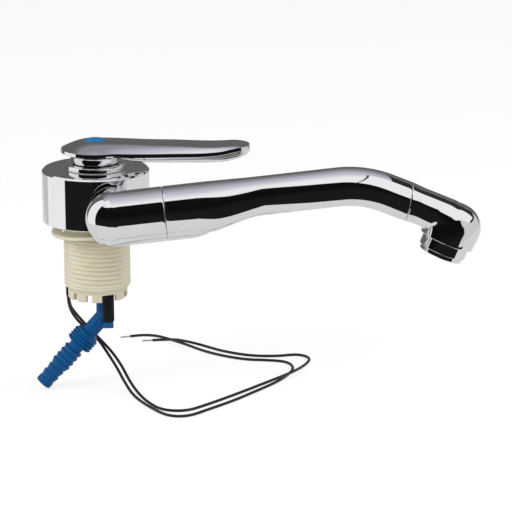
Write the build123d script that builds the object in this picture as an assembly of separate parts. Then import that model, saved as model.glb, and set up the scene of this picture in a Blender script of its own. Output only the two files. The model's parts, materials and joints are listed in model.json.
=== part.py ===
from build123d import *
import math
import os

# Cold water tap for a small sink: chromed body on a threaded shank, a spout that folds
# up beside the body, and a single lever on top.
# Millimetres. The origin is on the shank's axis at the underside of the base flange.
# +X is the way that spout and lever point, +Z is up, and -Y is the side with the spout.

# Clearances
RUN = 0.08            # running fit between turned parts
GAP = 0.3             # between curved faces that only come close
SEAT = 0.1            # between flat faces on parts that slide over each other
GRIP = RUN / 2        # screws and tubes end this far clear of what they are fixed in
PRESS = 0.05          # between sleeves and the tubes that they are pressed into

# Fixed shank and base flange
THREAD_R = 19.25      # crest radius, for a 39 mm hole
THREAD_DEPTH = 1.1
THREAD_PITCH = 2.65
THREAD_GROOVES = 11
NECK_LENGTH = 7.0     # plain length below the flange
SHANK_BORE_R = 14.6
FLANGE_R = 27.2
FLANGE_T = 3.0
CHAMFER_LENGTH = 2.8
CASTLE_R = 17.3       # toothed end of the shank
CASTLE_LENGTH = 4.3
CASTLE_WEB = 0.9      # plain ring above the teeth
FRONT_NOTCH_WIDTH = 9.0
SMALL_NOTCH_WIDTH = 3.4

# Base seal, a soft washer that hangs loose on the neck
SEAL_R = 26.3
SEAL_BORE_R = 20.2
SEAL_T = 1.8
SEAL_DROP = 4.2       # below the flange, on the axis
SEAL_TILT = 6.5       # degrees, low on the -X side

# Chromed body shell
BODY_R = 30.9
BODY_TOP = 30.6
BODY_WALL = 2.6
BODY_ROOF = 3.0
BODY_LIFT = 0.3       # shell above the worktop plane
BODY_EDGE = 1.0
HUB_WALL = 2.6

# Valve column inside the shell
COLUMN_R = 16.8
CHAMBER_LOW = 6.0
CHAMBER_HIGH = 19.0
CHAMBER_DEPTH = 1.2
CAVITY_R = 13.6
CAVITY_FLOOR = 8.3
PORT_R = 2.6
COLUMN_SCREW_R = 1.5
COLUMN_SCREW_PCD = 26.0
COLUMN_SCREW_COUNT = 3
COLUMN_SCREW_HEAD_R = 2.6
COLUMN_SCREW_HEAD_T = 1.6
RING_SECTION = 0.7    # radius of the round seal cords
RING_GROOVE_W = 1.9
RING_GROOVE_D = 1.5
OUTLET_PORT_X = -3.4
OUTLET_PORT_Y = -4.0

# Cartridge
CASE_TOP = 28.2
CASE_WALL = 1.3
CASE_FLOOR = 1.4
DISC_T = 3.0
DISC_WIDTH = 13.0
DISC_BACK = 7.6
DISC_FRONT = 11.4
MOVING_DISC_R = 6.0
CARRIER_BACK = 3.6
CARRIER_FRONT = 4.0
CARRIER_HALF_WIDTH = 4.4
CARRIER_TOP = 26.4
SOCKET_R = 2.5

# Lever ball and spindle
BALL_R = 14.5
BALL_Z = 39.5         # centre of the lever's tilt
BALL_CUT = 32.5
BALL_WALL = 2.0
SPINDLE_R = 2.0
SPINDLE_BALL_R = 2.35
SPINDLE_DEPTH = 14.5  # from the tilt centre down to the spindle's ball
SPINDLE_SEAT_R = 3.2
BALL_SEAT_R = 11.0
BALL_SEAT_T = 1.4
LEVER_LIFT = 20.0     # degrees

# Collar nut on top of the body
COLLAR_R = 17.3
COLLAR_TOP = 33.9
COLLAR_LIFT = 0.3
COLLAR_MOUTH_R = 14.3
COLLAR_THROAT_R = 12.5

# Micro switch in the cartridge
SWITCH_BACK = -10.8
SWITCH_FRONT = -5.6
SWITCH_HALF_WIDTH = 4.2
SWITCH_LOW = 18.6
SWITCH_HIGH = 24.6
PLUNGER_R = 1.1
PLUNGER_REACH = 1.7
PLUNGER_TAIL = 3.0

# Lever handle
HUB_R = 19.8
HUB_EDGE_Z = 42.4     # edge of the hub's flank
HUB_UNDER_Z = 40.3
SHOULDER_R = 14.0     # where the hub's flank meets its flat crown
SHOULDER_Z = 46.0
CROWN_Z = 47.5        # top of the crown over the hub
LEVER_REACH = 89.2
ARM_TIP_HALF = 11.0
ARM_TIP_LENGTH = 8.0  # of the rounded end
ARM_SECTIONS = [      # reach, half width, rim, half width and height of shoulder, ridge
    (3.0, 18.6, 42.4, 13.8, 45.7, 47.2), (10.0, 17.6, 42.2, 13.5, 45.4, 46.9),
    (20.0, 16.3, 41.6, 12.9, 44.9, 46.3), (31.0, 15.2, 41.15, 12.0, 44.45, 45.6),
    (45.0, 14.2, 40.85, 11.1, 43.95, 45.0), (60.0, 13.2, 40.5, 10.2, 43.4, 44.4),
    (70.0, 12.3, 40.9, 9.4, 43.3, 44.1), (78.0, 11.3, 42.2, 8.6, 43.6, 44.2),
    (84.0, 10.7, 43.3, 8.2, 43.95, 44.3), (92.0, 10.3, 43.5, 8.0, 44.0, 44.3),
]
ARM_UNDERSIDE = [     # reach and height of the side wall's lower edge
    (13.0, 40.3), (15.0, 39.0), (19.0, 37.8), (25.0, 36.8), (34.0, 36.1), (50.0, 35.6),
    (64.0, 35.1), (72.0, 35.1), (78.0, 35.9), (84.0, 37.2), (88.0, 38.1), (92.0, 38.8),
]
ARM_WALL = 1.8
HOLLOW_END = 68.0
HOLLOW_HALF = 6.4
HOLLOW_TOP = 40.4
DISH_X = 67.0         # thumb dish
DISH_Z = 43.1
DISH_R = 90.0
CAP_R = 5.85
CAP_T = 1.6
CAP_RISE = 0.65       # top of the cap above the crown
CAP_DOME_R = 32.0
HANDLE_SCREW_R = 2.0
HANDLE_SCREW_HEAD_R = 3.6
HANDLE_SCREW_HEAD_T = 2.2

# Spout pivot, a level axis along Y
PIVOT_X = 7.7
PIVOT_Z = 15.05
SPOUT_Y = -56.0
BOSS_R = 12.5
BOSS_END_Y = -35.0
WASHER_T = 0.8
NIPPLE_R = 8.9
NIPPLE_END_Y = -47.5
NIPPLE_BORE_R = 5.5
CLIP_R = 10.6
CLIP_T = 1.0

# Spout, in its own frame: x along the root, z up, origin at the elbow's centre
REST_SLOPE = 5.4      # degrees that the stowed spout rises
ELBOW_R = 14.75
BELLY_R = 14.5
SPOUT_WALL = 1.8
SEAM_1_X = 29.1
BELLY_END = 48.0
TUBE_START = 84.0
TUBE_R = 10.95
TUBE_RISE = 3.12      # the thin tube's axis above the belly's
BEND_START = 126.5
BEND_R = 58.5
BEND = 27.5           # degrees that the spout turns down
SEAM_GAP = 0.2
SEAM_2_RUN = 13.0     # past the bend, on the axis
SEAM_2_TILT = 11.0    # degrees that the second seam leans back to upright
KEEL_R = 11.8
KEEL_DROP = 4.5
KEEL_START = -1.0
KEEL_FADE = 43.0
KEEL_END = 69.0
JOINT_SLEEVE = 12.0   # length of the sleeves inside the seams
CUTTER = 8 * BELLY_END   # side of the blocks that cut the spout at its seams
ROOT_SLEEVE_WALL = 1.4
TIP_SLEEVE_WALL = 1.2

# Nozzle head
OUTLET_RUN = 42.3     # from the bend's end to the outlet's axis
NOZZLE_R = 10.4
HEAD_R = 16.2
HEAD_TOP = 9.6        # above the nozzle's axis
HEAD_FLAT = 2.6       # radius of the flat top, before the round begins
CHEEK_HALF = 11.2     # half width of the head where its narrow top begins
CHEEK_Z = 1.5
CHEEK_MIDDLE = (13.5, -3.5)
CHEEK_FOOT_Z = -9.0
FLARE_START = 20.0
FLARE_END = 3.0
FLARE_R = 10.8
FLARE_DROP = 0.7
SKIRT_R = 15.7
SKIRT_LOW = 13.0      # below the nozzle's axis
AERATOR_R = 13.6
AERATOR_STEP = 19.4
AERATOR_LIP_R = 12.5
AERATOR_LOW = 22.0
AERATOR_BORE_R = 10.6
AERATOR_THREAD = 5.0  # length of the ring's thread inside the skirt
INSERT_HEIGHT = 5.0
OUTLET_THREAD_R = 11.6

# Water pipe inside the spout
PIPE_R = 4.6
PIPE_BORE_R = 3.4
PIPE_START = 14.0
PIPE_TURN_R = 60.0

# Inlet tubes and hose connector
COLD_X = 3.6
COLD_Y = 0.0
COLD_TUBE_R = 3.2
COLD_TUBE_END = -52.0
COLD_BORE_R = 1.9
COLD_GROOVE_R = 2.5
COLD_SEAL_R = 0.34    # radius of its seal cord
COLD_SEAL_LIFT = 6.0  # above the tube's end
SPARE_X = 5.7
SPARE_Y = -8.5
SPARE_TUBE_R = 2.4
SPARE_TUBE_END = -50.0
SLEEVE_R = 3.45
SLEEVE_TOP = -24.0
SLEEVE_END = -59.0
SOCKET_PIPE_R = 4.7
SOCKET_PIPE_TOP = -22.0
BEND_Z = -57.9
CONNECTOR_SLANT = 42.1   # degrees from straight down, towards -X
CONNECTOR_COLLAR_R = 8.0
COLLAR_ROOT_R = 6.9
COLLAR_FROM = 15.5
COLLAR_CRESTS = 4
COLLAR_PITCH = 2.0
CONNECTOR_NECK_R = 4.5
BARB_BORE_R = 2.9
WIDE_BARB_R = 5.9
WIDE_BARB_ROOT = 4.9
WIDE_BARBS = 4
WIDE_BARB_PITCH = 3.5
WIDE_BARB_FROM = 27.4
SLIM_BARB_R = 5.1
SLIM_BARB_ROOT = 4.3
SLIM_BARBS = 2
SLIM_BARB_PITCH = 4.5
SLIM_BARB_FROM = 42.5
TIP_LAND_R = 4.8
TIP_LAND_LENGTH = 3.3
FOOT_TOP = -59.1
FOOT_T = 3.6

# Levels of the shank, worked out from its sizes
THREAD_START = -NECK_LENGTH - THREAD_PITCH / 2
THREAD_END = THREAD_START - THREAD_GROOVES * THREAD_PITCH
CHAMFER_END = THREAD_END - CHAMFER_LENGTH
CASTLE_TOP = CHAMFER_END - CASTLE_WEB
SHANK_END = CASTLE_TOP - CASTLE_LENGTH

# Grommet in the left notch of the shank
GROMMET_X0 = -18.5
GROMMET_X1 = -12.0
GROMMET_Y0 = -1.2
GROMMET_Y1 = 5.0
GROMMET_LOW = SHANK_END + 0.7
GROMMET_HIGH = CASTLE_TOP - 0.1
LEAD_X = -10.2
LEAD_YS = [-1.4, 1.4]
LEAD_END_X = -13.0    # where the leads meet the grommet
LEAD_END_YS = [0.0, 3.4]

# Switch wires
WIRE_R = 0.85
TIP_R = 0.5
TIP_LENGTH = 6.5
LEAD_R = 0.7
FLOOR_Z = -102.0      # surface that the wires lie on, below the hose tail
LIE = FLOOR_Z + WIRE_R
HUMP = LIE + 2.2      # where one wire lies over the other
WIRE_A = [
    (-17.4, 0.6, GROMMET_LOW), (-17.4, 0.6, -50.4), (-14.6, 5.8, -59.3), (-8.5, 11.3, -68.1),
    (-0.2, 10.6, -75.8), (5.4, 6.5, -83.7), (10.4, 0.5, -90.6), (14.5, -9.5, -96.5),
    (19.4, -22.0, LIE), (27.9, -42.0, LIE), (37.2, -58.0, LIE), (49.0, -59.6, LIE),
    (60.4, -49.2, LIE), (76.2, -35.0, LIE), (91.6, -18.0, LIE), (104.6, -3.2, LIE),
    (112.8, 9.8, LIE), (118.0, 23.0, LIE), (114.9, 35.4, LIE), (103.2, 39.4, LIE),
    (90.6, 41.4, LIE), (77.2, 49.8, LIE), (65.2, 61.2, LIE), (55.6, 75.2, LIE),
    (46.6, 86.4, LIE), (38.2, 95.2, LIE), (29.0, 97.8, LIE), (21.4, 95.4, LIE),
]
WIRE_B = [
    (-17.0, 3.4, GROMMET_LOW), (-17.0, 3.4, -51.7), (-13.2, 8.6, -58.9), (-7.4, 13.5, -67.4),
    (1.4, 12.6, -77.0), (8.2, 8.0, -83.6), (13.4, 2.0, -90.2), (17.7, -5.2, -97.6),
    (22.4, -17.6, LIE), (27.2, -33.4, LIE), (34.4, -47.4, LIE), (48.2, -50.6, LIE),
    (60.6, -40.4, LIE), (73.0, -28.8, LIE), (85.2, -16.8, LIE), (97.8, -9.8, HUMP),
    (113.8, 6.4, HUMP), (124.0, 25.8, LIE), (129.4, 38.2, LIE), (127.6, 45.4, LIE),
    (121.5, 49.4, LIE), (109.8, 46.6, LIE), (93.4, 48.8, LIE), (77.6, 59.2, LIE),
    (68.4, 69.4, LIE), (60.6, 70.6, HUMP), (51.2, 78.4, HUMP), (45.8, 83.6, LIE + 0.9),
    (40.4, 86.4, LIE), (35.0, 85.9, LIE),
]

TOP = (Align.CENTER, Align.CENTER, Align.MAX)
BASE = (Align.CENTER, Align.CENTER, Align.MIN)
FORWARD = (Align.MIN, Align.CENTER, Align.CENTER)


def rod(radius, low, high, x=0.0, y=0.0):
    """Upright cylinder between two levels."""
    return Pos(x, y, low) * Cylinder(radius, high - low, align=BASE)


def ring(outer, inner, low, high, x=0.0, y=0.0):
    """Upright tube between two levels."""
    return rod(outer, low, high, x, y) - rod(inner, low - 1, high + 1, x, y)


def turned(profile):
    """Solid of revolution about Z from a closed outline of (radius, level) points."""
    outline = Polyline([(r, 0, z) for r, z in profile], close=True)
    return revolve(make_face(outline), Axis.Z, 360)


def along_y(radius, start, end, x=PIVOT_X, z=PIVOT_Z):
    """Level cylinder along Y between two places."""
    low, high = min(start, end), max(start, end)
    return Pos(x, low, z) * Rot(-90, 0, 0) * Cylinder(radius, high - low, align=BASE)


def seal_cord(radius, level):
    """Round seal cord lying flat about Z."""
    return Pos(0, 0, level) * Torus(radius, RING_SECTION)


def block(x0, x1, y0, y1, z0, z1):
    """Box between two corners."""
    return Pos(x0, y0, z0) * Box(x1 - x0, y1 - y0, z1 - z0, align=(Align.MIN,) * 3)


# Notches of the toothed end: angle about Z and width
NOTCHES = [
    (-68, FRONT_NOTCH_WIDTH), (-108, SMALL_NOTCH_WIDTH), (-140, SMALL_NOTCH_WIDTH),
    (173, 7.4), (140, SMALL_NOTCH_WIDTH), (100, FRONT_NOTCH_WIDTH), (60, SMALL_NOTCH_WIDTH),
    (20, SMALL_NOTCH_WIDTH), (-24, SMALL_NOTCH_WIDTH),
]

# Levels and places worked out from the sizes above
RING_LEVELS = [CHAMBER_LOW - 1.6, CHAMBER_HIGH + 2.4]
RING_R = COLUMN_R - RING_SECTION - 0.05
COLD_SEAL_Z = COLD_TUBE_END + COLD_SEAL_LIFT
TAIL_END = SLIM_BARB_FROM + SLIM_BARBS * SLIM_BARB_PITCH + TIP_LAND_LENGTH
NIPPLE_RINGS = [BOSS_END_Y - 3.4, BOSS_END_Y - 6.6]
CLIP_Y = NIPPLE_END_Y + 1.4
NECK_START_Y = BOSS_END_Y - WASHER_T - 2 * SEAT
ROOT_SLEEVE_R = BELLY_R - SPOUT_WALL - PRESS
TIP_SLEEVE_R = NOZZLE_R - SPOUT_WALL - PRESS
PIPE_COLLAR_R = TIP_SLEEVE_R - TIP_SLEEVE_WALL - SEAT
PIPE_TIP_RUN = SEAM_2_RUN + 5.0
COLUMN_LOW = FLANGE_T
COLUMN_TOP = BODY_TOP + COLLAR_LIFT - SEAT
CASE_R = CAVITY_R - RUN
CASE_BORE_R = CASE_R - CASE_WALL
DISC_LOW = CAVITY_FLOOR + CASE_FLOOR
MOVING_DISC_LOW = DISC_LOW + DISC_T + SEAT / 2
CARRIER_LOW = MOVING_DISC_LOW + DISC_T
SOCKET_Z = BALL_Z - SPINDLE_DEPTH


def threaded_shank():
    """Nylon shank: flange, plain neck, thread, chamfer and toothed end."""
    crest = THREAD_PITCH * 0.22
    profile = [(0, 0), (0, FLANGE_T), (FLANGE_R, FLANGE_T), (FLANGE_R, 0), (THREAD_R, 0)]
    for i in range(THREAD_GROOVES):
        top = THREAD_START - i * THREAD_PITCH
        profile.append((THREAD_R, top + crest))
        profile.append((THREAD_R - THREAD_DEPTH, top - crest / 2))
        profile.append((THREAD_R - THREAD_DEPTH, top - crest))
        profile.append((THREAD_R, top - THREAD_PITCH / 2 - crest / 2))
    profile.append((THREAD_R, THREAD_END))
    profile.append((CASTLE_R, CHAMFER_END))
    profile.append((CASTLE_R, SHANK_END))
    profile.append((SHANK_BORE_R, SHANK_END))
    profile.append((SHANK_BORE_R, 0))
    shank = turned(profile)
    shank -= rod(COLD_TUBE_R + GAP, -1, FLANGE_T + 1, COLD_X, COLD_Y)
    shank -= rod(SPARE_TUBE_R + GAP, -1, FLANGE_T + 1, SPARE_X, SPARE_Y)
    for y in LEAD_YS:
        shank -= rod(LEAD_R + GAP, -1, FLANGE_T + 1, LEAD_X, y)
    notch_z = SHANK_END - 1
    for angle, width in NOTCHES:
        cut = block(SHANK_BORE_R - 3, CASTLE_R + 2, -width / 2, width / 2, notch_z, CASTLE_TOP)
        shank -= Rot(0, 0, angle) * cut
    for i in range(COLUMN_SCREW_COUNT):
        x, y = screw_place(i)
        shank -= rod(COLUMN_SCREW_R + RUN, -1, FLANGE_T + 1, x, y)
        shank -= rod(COLUMN_SCREW_HEAD_R + GAP, -1, COLUMN_SCREW_HEAD_T, x, y)
    return shank


def screw_place(index):
    """Centre of one column screw."""
    angle = math.radians(90 + 360 / COLUMN_SCREW_COUNT * index)
    reach = COLUMN_SCREW_PCD / 2
    return reach * math.cos(angle), reach * math.sin(angle)


def base_seal():
    """Soft washer that hangs a little askew under the flange."""
    washer = Cylinder(SEAL_R, SEAL_T) - Cylinder(SEAL_BORE_R, SEAL_T + 2)
    return Pos(0, 0, -SEAL_DROP) * Rot(0, -SEAL_TILT, 0) * washer


def valve_column():
    """Fixed column that the chromed shell turns on, with the cartridge's seat."""
    column = rod(COLUMN_R, COLUMN_LOW, COLUMN_TOP)
    column -= ring(COLUMN_R + 1, COLUMN_R - CHAMBER_DEPTH, CHAMBER_LOW, CHAMBER_HIGH)
    for level in RING_LEVELS:
        half = RING_GROOVE_W / 2
        column -= ring(COLUMN_R + 1, COLUMN_R - RING_GROOVE_D, level - half, level + half)
    column -= rod(CAVITY_R, CAVITY_FLOOR, COLUMN_TOP + 1)
    column -= rod(COLD_TUBE_R, COLUMN_LOW - 1, CAVITY_FLOOR + 1, COLD_X, COLD_Y)
    column -= rod(SPARE_TUBE_R, COLUMN_LOW - 1, COLUMN_LOW + 3, SPARE_X, SPARE_Y)
    outlet_z = (COLUMN_LOW + CAVITY_FLOOR) / 2 + 1
    column -= Pos(OUTLET_PORT_X, OUTLET_PORT_Y, outlet_z - 1) * Cylinder(PORT_R, 10, align=BASE)
    for y in LEAD_YS:
        column -= rod(LEAD_R + GAP, COLUMN_LOW - 1, CAVITY_FLOOR + 1, LEAD_X, y)
    for i in range(COLUMN_SCREW_COUNT):
        x, y = screw_place(i)
        column -= rod(COLUMN_SCREW_R, COLUMN_LOW - 1, COLUMN_LOW + 2.6, x, y)
    side = along_y(PORT_R, -COLUMN_R - 1, OUTLET_PORT_Y, OUTLET_PORT_X, outlet_z)
    return column - side


def column_screws():
    """Screws that hold the column down on the flange."""
    screws = []
    for i in range(COLUMN_SCREW_COUNT):
        x, y = screw_place(i)
        head = rod(COLUMN_SCREW_HEAD_R, 0.2, COLUMN_SCREW_HEAD_T, x, y)
        head -= block(x - 2.0, x + 2.0, y - 0.35, y + 0.35, 0, 0.8)
        stem = rod(COLUMN_SCREW_R - GRIP, COLUMN_SCREW_HEAD_T, COLUMN_LOW + 2.4, x, y)
        screws.append(head + stem)
    return Compound(screws)


def column_seals():
    """Seal cords between the column and the turning shell."""
    return Compound([seal_cord(RING_R, level) for level in RING_LEVELS])


def cartridge_case():
    """Case of the cartridge, with ports, a slot for the spindle and a switch window."""
    case = rod(CASE_R, CAVITY_FLOOR, CASE_TOP)
    case -= rod(CASE_BORE_R, DISC_LOW, CASE_TOP - CASE_WALL)
    slot_front = SPINDLE_DEPTH * math.sin(math.radians(LEVER_LIFT)) + SPINDLE_R + 1.2
    case -= block(-SPINDLE_R - 1.2, slot_front, -SPINDLE_R - 0.8, SPINDLE_R + 0.8,
                  CASE_TOP - 3, CASE_TOP + 1)
    case -= rod(COLD_TUBE_R - 0.6, CAVITY_FLOOR - 1, DISC_LOW + 1, COLD_X, COLD_Y)
    case -= rod(PORT_R, CAVITY_FLOOR - 1, DISC_LOW + 1, OUTLET_PORT_X, OUTLET_PORT_Y)
    for y in LEAD_YS:
        case -= rod(LEAD_R + GAP, CAVITY_FLOOR - 1, DISC_LOW + 1, LEAD_X, y)
    return case


def fixed_disc():
    """Ceramic disc that stays still, with one port in and one port out."""
    half = DISC_WIDTH / 2
    disc = block(-DISC_BACK, DISC_FRONT, -half, half, DISC_LOW, DISC_LOW + DISC_T)
    disc = disc & rod(CASE_BORE_R - RUN, DISC_LOW, DISC_LOW + DISC_T)
    disc -= rod(1.6, DISC_LOW - 1, DISC_LOW + DISC_T + 1, COLD_X, COLD_Y)
    disc -= rod(1.8, DISC_LOW - 1, DISC_LOW + DISC_T + 1, OUTLET_PORT_X, OUTLET_PORT_Y)
    return disc


def moving_disc():
    """Ceramic disc that slides with the carrier and opens the ports."""
    disc = rod(MOVING_DISC_R, MOVING_DISC_LOW, CARRIER_LOW)
    channel = block(-3.5, 3.5, -2.6, 1.2, MOVING_DISC_LOW - 1, MOVING_DISC_LOW + 1.2)
    return disc - channel


def disc_carrier():
    """Carrier that the spindle's ball pushes, keyed on the moving disc."""
    carrier = block(-CARRIER_BACK, CARRIER_FRONT, -CARRIER_HALF_WIDTH, CARRIER_HALF_WIDTH,
                    CARRIER_LOW, CARRIER_TOP)
    carrier -= rod(SOCKET_R, SOCKET_Z - 3.2, CARRIER_TOP + 1)
    return carrier


def switch_case():
    """Small switch beside the carrier."""
    case = block(SWITCH_BACK, SWITCH_FRONT, -SWITCH_HALF_WIDTH, SWITCH_HALF_WIDTH,
                 SWITCH_LOW, SWITCH_HIGH)
    middle = (SWITCH_LOW + SWITCH_HIGH) / 2
    bore = Pos(SWITCH_FRONT + 1, 0, middle) * Rot(0, -90, 0)
    case -= bore * Cylinder(PLUNGER_R + RUN, PLUNGER_TAIL + 2.0, align=BASE)
    for y in LEAD_YS:
        case -= rod(LEAD_R, SWITCH_LOW - 1, SWITCH_LOW + 1.5, LEAD_X, y)
    shelf = block(SWITCH_BACK, SWITCH_FRONT - 1.0, -SWITCH_HALF_WIDTH, SWITCH_HALF_WIDTH,
                  DISC_LOW + DISC_T + 3.6, SWITCH_LOW)
    for y in LEAD_YS:
        shelf -= rod(LEAD_R + GAP, DISC_LOW, SWITCH_LOW + 1, LEAD_X, y)
    foot = block(SWITCH_BACK, SWITCH_BACK + 1.6, -SWITCH_HALF_WIDTH, -2.8, DISC_LOW, SWITCH_LOW)
    other = block(SWITCH_BACK, SWITCH_BACK + 1.6, 2.8, SWITCH_HALF_WIDTH, DISC_LOW, SWITCH_LOW)
    return case + shelf + foot + other


def switch_plunger():
    """Button of the switch, which follows the carrier."""
    middle = (SWITCH_LOW + SWITCH_HIGH) / 2
    length = PLUNGER_REACH + PLUNGER_TAIL
    start = Pos(SWITCH_FRONT + PLUNGER_REACH, 0, middle) * Rot(0, -90, 0)
    return start * Cylinder(PLUNGER_R, length, align=BASE)


def switch_leads():
    """Two insulated leads from the switch down to the grommet."""
    leads = []
    for y, end_y in zip(LEAD_YS, LEAD_END_YS):
        points = [
            (LEAD_X, y, SWITCH_LOW + 1.3), (LEAD_X, y, -16.0),
            (LEAD_END_X, end_y, -28.0), (LEAD_END_X, end_y, GROMMET_HIGH),
        ]
        path = FilletPolyline(*points, radius=[8.0, 8.0])
        section = Plane(origin=points[0], z_dir=(0, 0, -1)) * Circle(LEAD_R)
        leads.append(sweep(section, path=path))
    return Compound(leads)


def wire_grommet():
    """Rubber grommet in the notch where the wires leave the shank."""
    return block(GROMMET_X0, GROMMET_X1, GROMMET_Y0, GROMMET_Y1, GROMMET_LOW, GROMMET_HIGH)


def cold_inlet_tube():
    """Tube from the connector up to the cartridge."""
    high = CAVITY_FLOOR - 0.2
    tube = ring(COLD_TUBE_R - GRIP, COLD_BORE_R, COLD_TUBE_END, high, COLD_X, COLD_Y)
    groove = ring(COLD_TUBE_R + 1, COLD_GROOVE_R, COLD_SEAL_Z - 0.5, COLD_SEAL_Z + 0.5)
    return tube - Pos(COLD_X, COLD_Y, 0) * groove


def spare_inlet_tube():
    """Blind tube for a second inlet, which a cold tap leaves unused."""
    tube = rod(SPARE_TUBE_R - GRIP, SPARE_TUBE_END, COLUMN_LOW + 2.8, SPARE_X, SPARE_Y)
    return tube - rod(SPARE_TUBE_R - 1.0, SPARE_TUBE_END - 1, COLUMN_LOW, SPARE_X, SPARE_Y)


def blanking_sleeve():
    """Black sleeve that closes the spare tube, with a closed end."""
    sleeve = rod(SLEEVE_R, SLEEVE_END, SLEEVE_TOP, SPARE_X, SPARE_Y)
    return sleeve - rod(SPARE_TUBE_R, SPARE_TUBE_END - 3, SLEEVE_TOP + 1, SPARE_X, SPARE_Y)


def connector_seal():
    """Small seal cord between the cold tube and the connector's socket."""
    cord = Torus(COLD_GROOVE_R + COLD_SEAL_R + 0.02, COLD_SEAL_R)
    return Pos(COLD_X, COLD_Y, COLD_SEAL_Z) * cord


def slanted():
    """Place of the slanted half of the connector: its own z runs out along the tail."""
    return Pos(COLD_X, COLD_Y, BEND_Z) * Rot(0, 180 + CONNECTOR_SLANT, 0)


def hose_tail_profile():
    """Half outline of collar, neck and barbs, as (radius, run) points."""
    points = [(0, 0), (SOCKET_PIPE_R, 0), (SOCKET_PIPE_R, COLLAR_FROM - 2.5),
              (COLLAR_ROOT_R, COLLAR_FROM - 1.0)]
    for i in range(COLLAR_CRESTS):
        start = COLLAR_FROM + i * COLLAR_PITCH
        points.append((COLLAR_ROOT_R, start))
        points.append((CONNECTOR_COLLAR_R, start + 0.6))
        points.append((CONNECTOR_COLLAR_R, start + 1.2))
        points.append((COLLAR_ROOT_R, start + 1.8))
    collar_end = COLLAR_FROM + COLLAR_CRESTS * COLLAR_PITCH
    points.append((CONNECTOR_NECK_R, collar_end + 0.6))
    points.append((CONNECTOR_NECK_R, WIDE_BARB_FROM - 0.4))
    for i in range(WIDE_BARBS):
        start = WIDE_BARB_FROM + i * WIDE_BARB_PITCH
        points.append((WIDE_BARB_R, start))
        points.append((WIDE_BARB_R, start + 0.5))
        points.append((WIDE_BARB_ROOT, start + WIDE_BARB_PITCH - 0.3))
    points.append((SLIM_BARB_ROOT, SLIM_BARB_FROM - 0.6))
    for i in range(SLIM_BARBS):
        start = SLIM_BARB_FROM + i * SLIM_BARB_PITCH
        points.append((SLIM_BARB_R, start))
        points.append((SLIM_BARB_R, start + 0.5))
        points.append((SLIM_BARB_ROOT, start + SLIM_BARB_PITCH - 0.4))
    tail_end = SLIM_BARB_FROM + SLIM_BARBS * SLIM_BARB_PITCH
    points.append((TIP_LAND_R, tail_end))
    points.append((TIP_LAND_R, tail_end + TIP_LAND_LENGTH))
    points.append((0, tail_end + TIP_LAND_LENGTH))
    return points


def hose_connector():
    """Blue angled connector: socket pipe, elbow, threaded collar and stepped barb."""
    pipe = rod(SOCKET_PIPE_R, BEND_Z, SOCKET_PIPE_TOP, COLD_X, COLD_Y)
    knuckle = Pos(COLD_X, COLD_Y, BEND_Z) * Sphere(SOCKET_PIPE_R)
    tail = slanted() * turned(hose_tail_profile())
    low = FOOT_TOP - FOOT_T
    foot = block(SPARE_X - 3.2, SPARE_X + 2.9, SPARE_Y - 2.6, COLD_Y, low, FOOT_TOP)
    foot = fillet(foot.edges().filter_by(Axis.Z), 0.8)
    body = pipe + knuckle + tail + foot
    body -= rod(COLD_TUBE_R + GRIP, COLD_TUBE_END - 0.5, SOCKET_PIPE_TOP + 1, COLD_X, COLD_Y)
    body -= rod(BARB_BORE_R, BEND_Z, COLD_TUBE_END, COLD_X, COLD_Y)
    body -= slanted() * Cylinder(BARB_BORE_R, TAIL_END + 1, align=BASE)
    return body - (Pos(COLD_X, COLD_Y, BEND_Z) * Sphere(BARB_BORE_R))


def collar_nut():
    """Chromed nut that clamps the cartridge and keeps the shell down."""
    low = BODY_TOP + COLLAR_LIFT
    mouth = COLLAR_TOP - 0.9
    nut = turned([
        (COLLAR_THROAT_R, CASE_TOP), (CAVITY_R - RUN, CASE_TOP), (CAVITY_R - RUN, low),
        (COLLAR_R, low), (COLLAR_R, mouth), (COLLAR_R - 0.3, COLLAR_TOP - 0.3),
        (COLLAR_R - 0.9, COLLAR_TOP), (COLLAR_MOUTH_R, COLLAR_TOP),
        (COLLAR_THROAT_R, low + 0.4),
    ])
    return nut


def body_shell():
    """Chromed shell that turns on the column and carries the spout's boss."""
    shell = turned([
        (0, BODY_LIFT), (BODY_R, BODY_LIFT), (BODY_R, BODY_TOP - BODY_EDGE),
        (BODY_R - BODY_EDGE, BODY_TOP), (0, BODY_TOP),
    ])
    hub_r = COLUMN_R + RUN
    shell -= turned([
        (hub_r + HUB_WALL, BODY_LIFT - 1), (BODY_R - BODY_WALL, BODY_LIFT - 1),
        (BODY_R - BODY_WALL, BODY_TOP - BODY_ROOF), (hub_r + HUB_WALL, BODY_TOP - BODY_ROOF),
    ])
    boss = along_y(BOSS_R, -COLUMN_R - 1.0, BOSS_END_Y)
    boss -= rod(hub_r + 0.4, 0, BODY_TOP)
    nipple = along_y(NIPPLE_R, BOSS_END_Y, NIPPLE_END_Y)
    for y in NIPPLE_RINGS:
        half = RING_GROOVE_W / 2
        nipple -= level_ring(NIPPLE_R + 1, NIPPLE_R - RING_GROOVE_D, y - half, y + half)
    nipple -= level_ring(NIPPLE_R + 1, NIPPLE_R - 1.0, CLIP_Y - CLIP_T / 2, CLIP_Y + CLIP_T / 2)
    shell = shell + boss + nipple
    shell -= along_y(NIPPLE_BORE_R, NIPPLE_END_Y - 1, 0)
    shell -= rod(hub_r, BODY_LIFT - 1, BODY_TOP + 1)
    return shell - rod(FLANGE_R + 0.6, BODY_LIFT - 1, FLANGE_T + GAP)


def level_ring(outer, inner, start, end):
    """Level tube about the pivot axis."""
    low, high = min(start, end), max(start, end)
    return along_y(outer, low, high) - along_y(inner, low - 1, high + 1)


def pivot_washer():
    """Glide washer between boss and elbow."""
    start = BOSS_END_Y - SEAT
    return level_ring(BOSS_R - 0.2, NIPPLE_R + 0.1, start, start - WASHER_T)


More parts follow.
